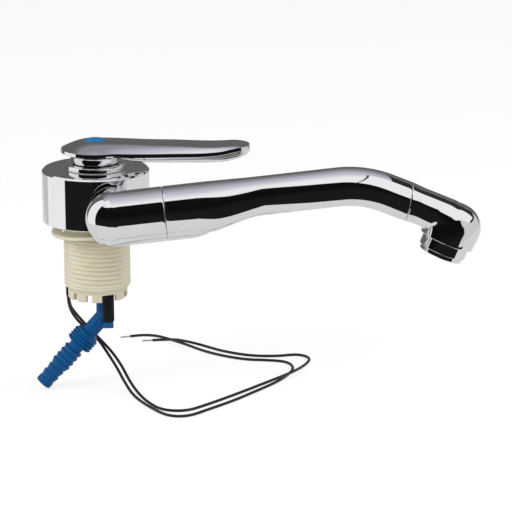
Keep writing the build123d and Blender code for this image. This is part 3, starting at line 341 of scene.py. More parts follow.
class Paint:
    """Every finish as a material, made once."""

    def __init__(self) -> None:
        """Build the materials."""
        self.materials = {finish.slot: finish.material() for finish in FINISHES}

    def dress(self, piece: bpy.types.Object, slot: Slot, body: str, *nodes: str) -> bpy.types.Object:
        """Give a new piece its finish, its body and the nodes that it stands for.

        Args:
            piece: The new object.
            slot: Its material slot.
            body: CAD body that it moves with.
            nodes: CAD nodes that it replaces.

        Returns:
            The same object.
        """
        piece.data.materials.clear()
        piece.data.materials.append(self.materials[slot])
        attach(piece, body)
        if nodes:
            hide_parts(*nodes)
        return piece

    def carry_over(self) -> int:
        """Give every CAD node its own slot's finish.

        Returns:
            How many nodes were dressed.
        """
        rows = frame["record"]["subparts"]
        for row in rows:
            mesh = frame["nodes"][row["node"]].data
            mesh.materials.clear()
            mesh.materials.append(self.materials[Slot(row["material_slot"])])
        return len(rows)


# Surfaces


@dataclass
class Patch:
    """Points in millimetres and faces of four corners.

    Attributes:
        points: One row for each point.
        faces: One row of four point numbers for each face, outwards.
    """

    points: np.ndarray
    faces: np.ndarray
    # Distance of points that become one, and length of edges that go, in metres
    SAME_POINT: ClassVar[float] = 2e-7
    NO_LENGTH: ClassVar[float] = 1e-7

    def __add__(self, other: "Patch") -> "Patch":
        """Both patches as one."""
        faces = np.vstack([self.faces, other.faces + len(self.points)])
        return Patch(np.vstack([self.points, other.points]), faces)

    def placed(self, place: "Place") -> "Patch":
        """The patch moved from a place's own frame into the tap's."""
        return Patch(place.out(self.points), self.faces)

    def piece(self, name: str, crease: float = 32.0) -> bpy.types.Object:
        """Make a smooth-shaded object, with sharp edges past an angle.

        Points that lie on each other become one, and faces without area go.

        Args:
            name: Name of the object.
            crease: Least angle of a sharp edge, in degrees.

        Returns:
            The linked object, with its place in its mesh.
        """
        mesh = bpy.data.meshes.new(name)
        mesh.from_pydata((self.points * MM).tolist(), [], self.faces.tolist())
        shape = bmesh.new()
        shape.from_mesh(mesh)
        bmesh.ops.remove_doubles(shape, verts=shape.verts, dist=self.SAME_POINT)
        bmesh.ops.dissolve_degenerate(shape, edges=shape.edges, dist=self.NO_LENGTH)
        shape.to_mesh(mesh)
        shape.free()
        mesh.shade_smooth()
        mesh.set_sharp_from_angle(angle=math.radians(crease))
        made = bpy.data.objects.new(name, mesh)
        bpy.context.scene.collection.objects.link(made)
        return made


@dataclass(frozen=True)
class Place:
    """A frame in the tap.

    Attributes:
        origin: Its origin in the tap's frame.
        slope: How far its x is tilted up from the tap's X, in degrees.
    """

    origin: Triple
    slope: float

    def out(self, points: np.ndarray) -> np.ndarray:
        """Turn points of this frame about Y by the slope, and move them into the tap's frame.

        Args:
            points: Any number of points.

        Returns:
            The same points in the tap's frame.
        """
        turn = math.radians(self.slope)
        x = points[..., 0] * math.cos(turn) - points[..., 2] * math.sin(turn)
        z = points[..., 0] * math.sin(turn) + points[..., 2] * math.cos(turn)
        return np.stack([x, points[..., 1], z], -1) + np.array(self.origin)

    def inner(self, x: float, z: float, slope: float) -> "Place":
        """A frame inside this one, at a point of its level plane and with its own slope."""
        origin = self.out(np.array([x, 0.0, z]))
        return Place(tuple(float(v) for v in origin), self.slope + slope)


def grid_faces(rows: int, columns: int, close_rows: bool = False) -> np.ndarray:
    """Faces of a grid whose columns close into rings.

    Args:
        rows: Number of rings.
        columns: Points in each ring.
        close_rows: Whether the last ring joins the first.

    Returns:
        Faces that look outwards where the rings run against the watch's hands, seen
        against the way that the rows go.
    """
    i = np.arange(rows if close_rows else rows - 1)[:, None]
    j = np.arange(columns)[None, :]
    i2 = (i + 1) % rows
    j2 = (j + 1) % columns
    corners = [i * columns + j, i * columns + j2, i2 * columns + j2, i2 * columns + j]
    return np.stack([np.broadcast_to(c, (i.size, columns)) for c in corners], -1).reshape(-1, 4)


def rounded(outline: Table, radius: float | Sequence[float], steps: int = 6,
            closed: bool = True) -> np.ndarray:
    """Outline with its corners rounded, all corners at once.

    Each corner becomes an arc that touches both of its sides, and takes no more than
    0.45 of the shorter one: points go from one touching point to the other along the
    circle.

    Args:
        outline: Corner points, as radius and level.
        radius: One radius, or one for each corner.
        steps: Points on each arc.
        closed: Whether the last corner joins the first.

    Returns:
        The points of the rounded outline.
    """
    most, nearly_flat, tiny = 0.45, math.radians(88.0), 1e-6
    corners = np.array(outline, float)
    radii = np.broadcast_to(np.asarray(radius, float), (len(corners),)).copy()
    before = np.roll(corners, 1, 0) - corners
    after = np.roll(corners, -1, 0) - corners
    if not closed:
        before[0] = -after[0]
        after[-1] = -before[-1]
    length_1 = np.linalg.norm(before, axis=1)
    length_2 = np.linalg.norm(after, axis=1)
    way_1 = before / length_1[:, None]
    way_2 = after / length_2[:, None]
    half = np.arccos(np.clip((way_1 * way_2).sum(1), -1.0, 0.99999)) / 2
    straight = half > nearly_flat
    cut = np.minimum(radii / np.tan(half), most * np.minimum(length_1, length_2))
    cut = np.where(straight, 0.0, cut)
    real = cut * np.tan(half)
    middle = way_1 + way_2
    middle /= np.maximum(np.linalg.norm(middle, axis=1), tiny)[:, None]
    centre = corners + middle * (cut / np.cos(np.minimum(half, nearly_flat)))[:, None]
    start = corners + way_1 * cut[:, None] - centre
    end = corners + way_2 * cut[:, None] - centre
    sweep = np.pi - 2 * half
    share = np.linspace(0.0, 1.0, steps)[None, :]
    lowest = np.maximum(np.sin(sweep), tiny)[:, None]
    weight_1 = np.sin((1 - share) * sweep[:, None]) / lowest
    weight_2 = np.sin(share * sweep[:, None]) / lowest
    arcs = weight_1[..., None] * start[:, None] + weight_2[..., None] * end[:, None]
    arcs += centre[:, None]
    flat = (straight | (real < tiny))[:, None, None]
    arcs = np.where(flat, corners[:, None], arcs)
    return arcs.reshape(-1, 2)


def braced(outline: np.ndarray, closed: bool = True, margin: float = 0.12) -> np.ndarray:
    """Outline with an extra point near both ends of each long side.

    They hold the shading of a flat side flat right up to its rounded corners.

    Args:
        outline: Points of the outline.
        closed: Whether the last point joins the first.
        margin: Distance of the extra points from the side's ends.

    Returns:
        The longer outline.
    """
    after = np.roll(outline, -1, 0)
    length = np.linalg.norm(after - outline, axis=1)
    long = length > 8 * margin
    if not closed:
        long[-1] = False
    way = (after - outline) / np.maximum(length, 1e-9)[:, None] * margin
    rows = np.stack([outline, outline + way, after - way], 1).reshape(-1, 2)
    kept = np.stack([np.ones(len(outline), bool), long, long], 1).reshape(-1)
    return rows[kept]


def lathe(outline: np.ndarray, centre: Triple = (0.0, 0.0, 0.0), axis: Triple = (0.0, 0.0, 1.0),
          segments: int = 160, closed: bool = True) -> Patch:
    """Surface of revolution: each outline point goes round the axis on its own radius.

    Args:
        outline: Points as radius and level.
        centre: Where level 0 of the axis is.
        axis: Direction of the axis.
        segments: Points round the axis.
        closed: Whether the outline is a closed ring, or runs from axis to axis.

    Returns:
        The surface, with outward faces.
    """
    outline = braced(outline, closed)
    radius, level = outline[:, 0], outline[:, 1]
    area = (radius * np.roll(level, -1) - np.roll(radius, -1) * level).sum()
    if area < 0:
        radius, level = radius[::-1], level[::-1]
    up = np.array(axis) / np.linalg.norm(axis)
    side = np.array([1.0, 0.0, 0.0]) if abs(up[0]) < 0.9 else np.array([0.0, 1.0, 0.0])
    side = side - up * (side @ up)
    side /= np.linalg.norm(side)
    third = np.cross(up, side)
    angle = np.linspace(0.0, 2 * np.pi, segments, endpoint=False)
    round_way = np.cos(angle)[:, None] * side + np.sin(angle)[:, None] * third
    points = np.array(centre) + radius[:, None, None] * round_way + level[:, None, None] * up
    return Patch(points.reshape(-1, 3), grid_faces(len(radius), segments, closed))


def walled(outer: np.ndarray, inner: np.ndarray, keep: np.ndarray | None = None,
           pole: str = "") -> Patch:
    """Closed shell between two grids of rings, with walls at every open edge.

    Args:
        outer: Outer points, as rows of rings.
        inner: Inner points on the same grid.
        keep: Which cells of the grid stay; the others are a hole through both grids.
        pole: "first" or "last" where that row is a single point, which needs no wall.

    Returns:
        The shell, with outward faces.
    """
    rows, columns = outer.shape[:2]
    kept = np.ones((rows - 1, columns), bool) if keep is None else keep
    count = rows * columns
    cells = grid_faces(rows, columns).reshape(rows - 1, columns, 4)[kept]
    faces = [cells, cells[:, ::-1] + count]
    none = np.zeros((1, columns), bool)
    padded = np.vstack([kept[:1] if pole == "first" else none, kept,
                        kept[-1:] if pole == "last" else none])
    row_edge = padded[1:].astype(int) - padded[:-1].astype(int)
    column_edge = kept.astype(int) - np.roll(kept, 1, 1).astype(int)
    for change, step in ((row_edge, (0, 1)), (column_edge, (1, 0))):
        for sign in (1, -1):
            i, j = np.nonzero(change == sign)
            a = i * columns + j
            b = (i + step[0]) * columns + (j + step[1]) % columns
            first, second = (b, a) if (sign == 1) == (step == (0, 1)) else (a, b)
            faces.append(np.stack([first, second, second + count, first + count], -1))
    points = np.vstack([outer.reshape(-1, 3), inner.reshape(-1, 3)])
    used = np.unique(np.vstack(faces))
    number = np.full(len(points), -1)
    number[used] = np.arange(len(used))
    return Patch(points[used], number[np.vstack(faces)])


def smooth_step(value: np.ndarray, low: float, high: float) -> np.ndarray:
    """S-shaped change from 0 at low to 1 at high: three squares less two cubes."""
    share = np.clip((value - low) / (high - low), 0.0, 1.0)
    return share * share * (3 - 2 * share)


def soft_max(a: np.ndarray, b: np.ndarray, width: np.ndarray | float) -> np.ndarray:
    """Larger of two values, with a rounded change where they differ by less than width."""
    near = np.maximum(width - np.abs(a - b), 0.0) / width
    return np.maximum(a, b) + near * near * width / 4


def through(x: np.ndarray, table: Table, column: int = 1) -> np.ndarray:
    """Smooth curve through a few measured points.

    Cubic pieces whose slope at each point is the harmonic mean of the slopes beside it,
    and level where these differ in sign, so the curve never swings past a point.

    Args:
        x: Where to read the curve.
        table: Rows of the measured points, with x first.
        column: Which column of the rows is read.

    Returns:
        The curve's values.
    """
    rows = np.array(table, float)
    xs, ys = rows[:, 0], rows[:, column]
    step = np.diff(xs)
    slope = np.diff(ys) / step
    product = slope[1:] * slope[:-1]
    total = np.where(product > 0, slope[1:] + slope[:-1], 1.0)
    mean = np.where(product > 0, 2 * product / total, 0.0)
    knots = np.concatenate([slope[:1], mean, slope[-1:]])
    i = np.clip(np.searchsorted(xs, x) - 1, 0, len(step) - 1)
    t = np.clip((x - xs[i]) / step[i], 0.0, 1.0)
    h = step[i]
    return ((1 + 2 * t) * (1 - t) ** 2 * ys[i] + t * (1 - t) ** 2 * h * knots[i]
            + t * t * (3 - 2 * t) * ys[i + 1] + t * t * (t - 1) * h * knots[i + 1])


# Studio


def glow(card: bpy.types.Object, axis: int, start: float, end: float, stops: Stops) -> None:
    """Make a card shine in reflections only, with brightness along one axis.

    Args:
        card: The card.
        axis: 0, 1 or 2 for X, Y or Z.
        start: Where the first stop is, in millimetres.
        end: Where the last stop is.
        stops: Share of the way and brightness there.
    """
    made = Nodes(bpy.data.materials.new(card.name))
    place = made.add("TexCoord")
    split = made.add("SeparateXYZ")
    made.link(place.outputs["Object"], split.inputs[0])
    ramp = made.add("ValToRGB")
    while len(ramp.color_ramp.elements) < len(stops):
        ramp.color_ramp.elements.new(0.5)
    for element, (position, level) in zip(ramp.color_ramp.elements, stops):
        element.position = position
        tone = level if isinstance(level, tuple) else (level, level, level)
        element.color = (*tone, 1.0)
    made.link(made.ramp(split.outputs[axis], start * MM, end * MM, 0.0, 1.0), ramp.inputs["Fac"])
    light = made.add("Emission")
    made.link(ramp.outputs["Color"], light.inputs["Color"])
    card.data.materials.append(made.finish(light))
    for kind in ("camera", "diffuse", "transmission", "volume_scatter", "shadow"):
        setattr(card, "visible_" + kind, False)


@dataclass(frozen=True)
class Card:
    """Upright bent card that shows in reflections only, in millimetres.

    Attributes:
        name: Name of the card.
        line: Points along the card, as X, Y and the height of its top there.
        stops: Share of its greatest height and brightness there.
        low: Height of its lower edge.
    """

    name: str
    line: Table
    stops: Stops
    low: float = -101.0

    def build(self) -> None:
        """Make the card."""
        top = np.array(self.line, float)
        foot = np.column_stack([top[:, :2], np.full(len(top), self.low)])
        i = np.arange(len(top) - 1)
        faces = np.stack([i, i + 1, i + 1 + len(top), i + len(top)], -1)
        made = Patch(np.vstack([foot, top]), faces).piece(self.name)
        glow(made, 2, self.low, float(top[:, 2].max()), self.stops)


@dataclass(frozen=True)
class Sheet:
    """Level card that shows in reflections only, in millimetres.

    Attributes:
        name: Name of the card.
        outline: Corners, as X and Y.
        level: Height.
        stops: Share of the card's extent and brightness there.
        axis: 0 or 1, for brightness along X or Y.
    """

    name: str
    outline: Table
    level: float
    stops: Stops
    axis: int = 0

    def build(self) -> None:
        """Make the card."""
        plan = np.array(self.outline, float)
        points = np.column_stack([plan, np.full(len(plan), self.level)])
        made = Patch(points, np.arange(len(plan))[None]).piece(self.name)
        way = plan[:, self.axis]
        glow(made, self.axis, float(way.min()), float(way.max()), self.stops)


def even(brightness: float) -> Stops:
    """Stops of a card that is equally bright all over."""
    return (0.0, brightness), (1.0, brightness)


def oblong(x: Span, y: Span) -> Table:
    """Corners of a rectangle, from its ranges of X and Y."""
    return (x[0], y[0]), (x[1], y[0]), (x[1], y[1]), (x[0], y[1])


@dataclass(frozen=True)
class Lamp:
    """Square lamp that leaves no spot in the polished metal.

    Attributes:
        name: Name of the lamp.
        place: Where it is, in metres.
        power: Power in watts.
        size: Width in metres.
    """

    name: str
    place: Triple
    power: float
    size: float

    def build(self, target: Triple) -> None:
        """Make the lamp and turn it to its target.

        Args:
            target: Point in metres.
        """
        data = bpy.data.lights.new(self.name, "AREA")
        data.energy = self.power
        data.size = self.size
        made = bpy.data.objects.new(self.name, data)
        made.location = self.place
        aim = Vector(target) - Vector(self.place)
        made.rotation_euler = aim.to_track_quat("-Z", "Y").to_euler()
        made.visible_glossy = False
        bpy.context.scene.collection.objects.link(made)


@dataclass(frozen=True)
class Studio:
    """White studio: camera, lamps, floor, and cards that only polished metal sees.

    Attributes:
        picture: Width and height of the picture, in pixels.
        focal: Focal length, in pixels.
        sensor: Width of the camera's sensor, in millimetres.
        azimuth: Turn of the camera about Z, in degrees.
        elevation: How steeply it looks down, in degrees.
        target: Point on the body that the camera is placed by, in millimetres.
        target_pixel: Where that point shows, right and down from the picture's corner.
        pixel: Width of a pixel at the target's distance, in millimetres.
        floor_level: Height of the floor, in millimetres.
        floor_half: Half the floor's width, in millimetres.
        floor_tone: Grey of the floor for the rays that carry light.
        floor_shade: Grey of the floor as it is seen, which the shadows fall on.
        floor_glow: Light that the seen floor adds, in reflections and to the camera.
        world_light: Strength of the white all round as light; it is seen as 1.
        lamp_target: Where the lamps are turned to, in metres.
        dark: Brightness of the darkest cards.
        ceiling: Level of the soft box over the tap, in millimetres.
        room_x: Range of X that the ceiling covers.
        room_y: Range of Y that it covers.
    """

    picture: int = 512
    focal: float = 2300.0
    sensor: float = 36.0
    azimuth: float = -5.0
    elevation: float = 15.4
    target: Triple = (0.0, 0.0, 15.3)
    target_pixel: Span = (96.0, 193.75)
    pixel: float = 0.577
    floor_level: float = -102.0
    floor_half: float = 6000.0
    floor_tone: float = 0.75
    floor_shade: float = 0.3
    floor_glow: Span = (0.5, 0.76)
    world_light: float = 0.5
    lamp_target: Triple = (0.05, -0.02, -0.02)
    dark: float = 0.012
    ceiling: float = 700.0
    room_x: Span = (-900.0, 1500.0)
    room_y: Span = (-1400.0, 1600.0)

    def build(self) -> None:
        """Set up everything that isn't part of the tap."""
        bpy.context.scene.view_settings.view_transform = "Standard"
        self.camera()
        self.world()
        self.floor()
        for lamp in (Lamp("left lamp", (-1.1, -0.75, 1.0), 11.0, 0.9),
                     Lamp("right lamp", (1.3, -0.2, 0.9), 7.0, 0.9),
                     Lamp("front lamp", (0.1, -1.5, 0.6), 3.0, 0.6)):
            lamp.build(self.lamp_target)
        for card in self.walls() + self.ceilings():
            card.build()

    def camera(self) -> None:
        """Place the camera.

        The camera stands back from the target along its own axis, by focal length times
        millimetres per pixel, and aside and up by the target's distance from the
        picture's middle.
        """
        turn, lift = math.radians(self.azimuth), math.radians(self.elevation)
        right = np.array([math.cos(turn), math.sin(turn), 0.0])
        ahead = np.array([-math.sin(turn), math.cos(turn), 0.0])
        look = ahead * math.cos(lift) - np.array([0.0, 0.0, math.sin(lift)])
        up = np.cross(right, look)
        back = self.focal * self.pixel
        aside = (self.target_pixel[0] - self.picture / 2) * self.pixel
        above = (self.picture / 2 - self.target_pixel[1]) * self.pixel
        place = np.array(self.target) - back * look - aside * right - above * up
        data = bpy.data.cameras.new("camera")
        data.sensor_width = self.sensor
        data.lens = self.focal * self.sensor / self.picture
        data.clip_start = 0.01
        data.clip_end = 50.0
        made = bpy.data.objects.new("camera", data)
        matrix = np.eye(4)
        matrix[:3] = np.column_stack([right, up, -look, place * MM])
        made.matrix_world = Matrix(matrix.tolist())
        bpy.context.scene.collection.objects.link(made)
        bpy.context.scene.camera = made

    def world(self) -> None:
        """White to the camera and in reflections, and a softer white as light."""
        bpy.context.scene.world = bpy.data.worlds.new("world")
        made = Nodes(bpy.context.scene.world)
        light = made.add("Background", in_Color=(1.0, 1.0, 1.0, 1.0))
        level = made.ramp(made.seen_directly(), 0.0, 1.0, self.world_light, 1.0)
        made.link(level, light.inputs["Strength"])
        made.finish(light)

    def floor(self) -> None:
        """Pale floor: nearly white to the camera, but it still takes shadows."""
        side = (-self.floor_half, self.floor_half)
        corners = np.array([(*corner, self.floor_level) for corner in oblong(side, side)])
        floor = Patch(corners, np.array([[0, 1, 2, 3]])).piece("floor")
        made = Nodes(bpy.data.materials.new("floor"))
        light = made.add("BsdfDiffuse", in_Color=(*[self.floor_tone] * 3, 1.0))
        shade = made.add("BsdfDiffuse", in_Color=(*[self.floor_shade] * 3, 1.0))
        glowing = made.add("Emission", in_Color=(1.0, 1.0, 1.0, 1.0))
        path = made.add("LightPath")
        level = made.ramp(path.outputs["Is Camera Ray"], 0.0, 1.0, *self.floor_glow)
        made.link(level, glowing.inputs["Strength"])
        seen = made.add("AddShader")
        made.link(shade.outputs[0], seen.inputs[0])
        made.link(glowing.outputs[0], seen.inputs[1])
        mix = made.add("MixShader")
        made.link(made.seen_directly(), mix.inputs["Fac"])
        made.link(light.outputs[0], mix.inputs[1])
        made.link(seen.outputs[0], mix.inputs[2])
        floor.data.materials.append(made.finish(mix))

    def walls(self) -> list[Card | Sheet]:
        """Round the tap: a dark front with a dark floor at its right, and bright sides."""
        front = ((-320.0, -130.0, 450.0), (-290.0, -200.0, 450.0), (-230.0, -260.0, 450.0),
                 (-150.0, -300.0, 450.0), (30.0, -300.0, 440.0), (66.0, -300.0, 400.0),
                 (95.0, -300.0, 335.0), (118.0, -300.0, 272.0), (145.0, -300.0, 228.0),
                 (180.0, -300.0, 212.0), (238.0, -300.0, 162.0), (270.0, -300.0, 124.0),
                 (320.0, -300.0, 118.0), (400.0, -300.0, 150.0))
        floor = ((52.0, -300.0), (60.0, -275.0), (85.0, -240.0), (108.0, -198.0), (124.0, -158.0),
                 (140.0, -125.0), (158.0, -110.0), (200.0, -125.0), (260.0, -145.0),
                 (400.0, -170.0), (400.0, -300.0))
        left = ((-320.0, -130.0, 700.0), (-335.0, 0.0, 700.0), (-320.0, 200.0, 700.0))
        rear = ((-320.0, 200.0, 900.0), (-200.0, 620.0, 900.0), (500.0, 700.0, 900.0),
                (900.0, 400.0, 900.0))
        right = ((900.0, 400.0, 420.0), (980.0, 0.0, 300.0), (900.0, -250.0, 260.0),
                 (400.0, -300.0, 150.0))
        return [
            Card("dark front", front, ((0.0, self.dark), (0.2, self.dark), (0.34, 0.005), (1.0, 0.005)),
                 -101.8),
            Sheet("dark floor", floor, -101.5, even(self.dark)),
            Card("left side", left, even(1.0)),
            Card("rear", rear, ((0.0, 0.62), (0.05, 0.62), (0.09, 0.14), (0.55, 0.13), (1.0, 0.26))),
            Card("right side", right, even(0.7)),
        ]

    def ceilings(self) -> list[Sheet]:
        """Above the tap: a soft box that darkens to the rear, and panels just below it."""
        low, lower, lowest = self.ceiling - 2.0, self.ceiling - 4.0, self.ceiling - 5.0
        (left, right), (front, back) = self.room_x, self.room_y
        dim, gap, rear_edge = 600.0, 355.0, -60.0
        slope = gap + 30.0
        box = ((0.0, 1.0), (0.355, 1.0), (0.446, (0.66, 0.66, 0.74)), (0.508, (0.52, 0.52, 0.6)),
               (0.578, (0.33, 0.33, 0.37)), (0.673, (0.26, 0.26, 0.28)), (1.0, (0.2, 0.2, 0.21)))
        panel = ((gap, front), (right, front), (right, rear_edge), (slope, rear_edge))
        edge = ((gap - 20.0, front), (gap, front), (slope, rear_edge), (slope - 20.0, rear_edge))
        return [
            Sheet("soft box", oblong(self.room_x, self.room_y), self.ceiling, box, 1),
            Sheet("dark ceiling", oblong((dim, right), (rear_edge, back)), low, even(0.03)),
            Sheet("far strip", oblong((right, right + 400.0), self.room_y), low, even(0.03)),
            Sheet("right panel", panel, lower, even(1.0)),
            Sheet("panel edge", edge, lowest, even(0.05)),
            Sheet("left panel", oblong((-330.0, -75.0), (-700.0, 34.0)), lower, even(1.0)),
        ]


# Switch wires


@dataclass(frozen=True)
class SwitchWires:
    """The two loose wires of the micro switch, which lie in a loop on the floor.

    Attributes:
        diameter: Diameter over the insulation, in millimetres like the rest.
        length_a: Length of the first wire.
        length_b: Length of the second wire.
        lie: Height of a wire's middle where it lies on the floor.
        hump: Height of its middle where it passes over the other wire.
        step: How far above the floor it starts to rise to that height.
        low: Height of the shank's mouth, where both wires come out.
        sides: Shape of the section: points on a quarter of it.
        pieces: Straight pieces from one control point to the next.
    """

    diameter: float = 1.7
    length_a: float = 375.0
    length_b: float = 366.6
    lie: float = -101.15
    hump: float = -98.95
    step: float = 0.9
    low: float = -44.775
    sides: int = 5
    pieces: int = 12

    def routes(self) -> dict[str, tuple[list[Triple], float, str]]:
        """Where the wires run.

        Returns:
            Control points, length and bare end of each wire, by its node.
        """
        lie, hump, low = self.lie, self.hump, self.low
        wire_a = [
            (-17.4, 0.6, low), (-17.4, 0.6, -50.4), (-14.6, 5.8, -59.3), (-8.5, 11.3, -68.1),
            (-0.2, 10.6, -75.8), (5.4, 6.5, -83.7), (10.4, 0.5, -90.6), (14.5, -9.5, -96.5),
            (19.4, -22.0, lie), (27.9, -42.0, lie), (37.2, -58.0, lie), (49.0, -59.6, lie),
            (60.4, -49.2, lie), (76.2, -35.0, lie), (91.6, -18.0, lie), (104.6, -3.2, lie),
            (112.8, 9.8, lie), (118.0, 23.0, lie), (114.9, 35.4, lie), (103.2, 39.4, lie),
            (90.6, 41.4, lie), (77.2, 49.8, lie), (65.2, 61.2, lie), (55.6, 75.2, lie),
            (46.6, 86.4, lie), (38.2, 95.2, lie), (29.0, 97.8, lie), (21.4, 95.4, lie),
        ]
        wire_b = [
            (-17.0, 3.4, low), (-17.0, 3.4, -51.7), (-13.2, 8.6, -58.9), (-7.4, 13.5, -67.4),
            (1.4, 12.6, -77.0), (8.2, 8.0, -83.6), (13.4, 2.0, -90.2), (17.7, -5.2, -97.6),
            (22.4, -17.6, lie), (27.2, -33.4, lie), (34.4, -47.4, lie), (48.2, -50.6, lie),
            (60.6, -40.4, lie), (73.0, -28.8, lie), (85.2, -16.8, lie), (97.8, -9.8, hump),
            (113.8, 6.4, hump), (124.0, 25.8, lie), (129.4, 38.2, lie), (127.6, 45.4, lie),
            (121.5, 49.4, lie), (109.8, 46.6, lie), (93.4, 48.8, lie), (77.6, 59.2, lie),
            (68.4, 69.4, lie), (60.6, 70.6, hump), (51.2, 78.4, hump), (45.8, 83.6, lie + self.step),
            (40.4, 86.4, lie), (35.0, 85.9, lie),
        ]
        return {"switch_wire_a": (wire_a, self.length_a, "wire_tip_a"),
                "switch_wire_b": (wire_b, self.length_b, "wire_tip_b")}

    def build(self, paint: Paint) -> list[bpy.types.Object]:
        """Make both wires.

        Args:
            paint: The materials.

        Returns:
            The wires, each a curve with a round section.
        """
        made = []
        for node, (points, length, tip) in self.routes().items():
            curve = bpy.data.curves.new(node + "_cord", "CURVE")
            curve.dimensions = "3D"
            curve.bevel_depth = self.diameter / 2 * MM
            curve.bevel_resolution = self.sides
            curve.resolution_u = self.pieces
            curve.use_fill_caps = True
            line = curve.splines.new("NURBS")
            line.points.add(len(points) - 1)
            for point, place in zip(line.points, points):
                point.co = (*(value * MM for value in place), 1.0)
            line.order_u = 3
            line.use_endpoint_u = True
            wire = bpy.data.objects.new(node + "_cord", curve)
            bpy.context.scene.collection.objects.link(wire)
            paint.dress(wire, Slot.WIRE, "base", node)
            made.append(wire)
        return made


# Shank and seal


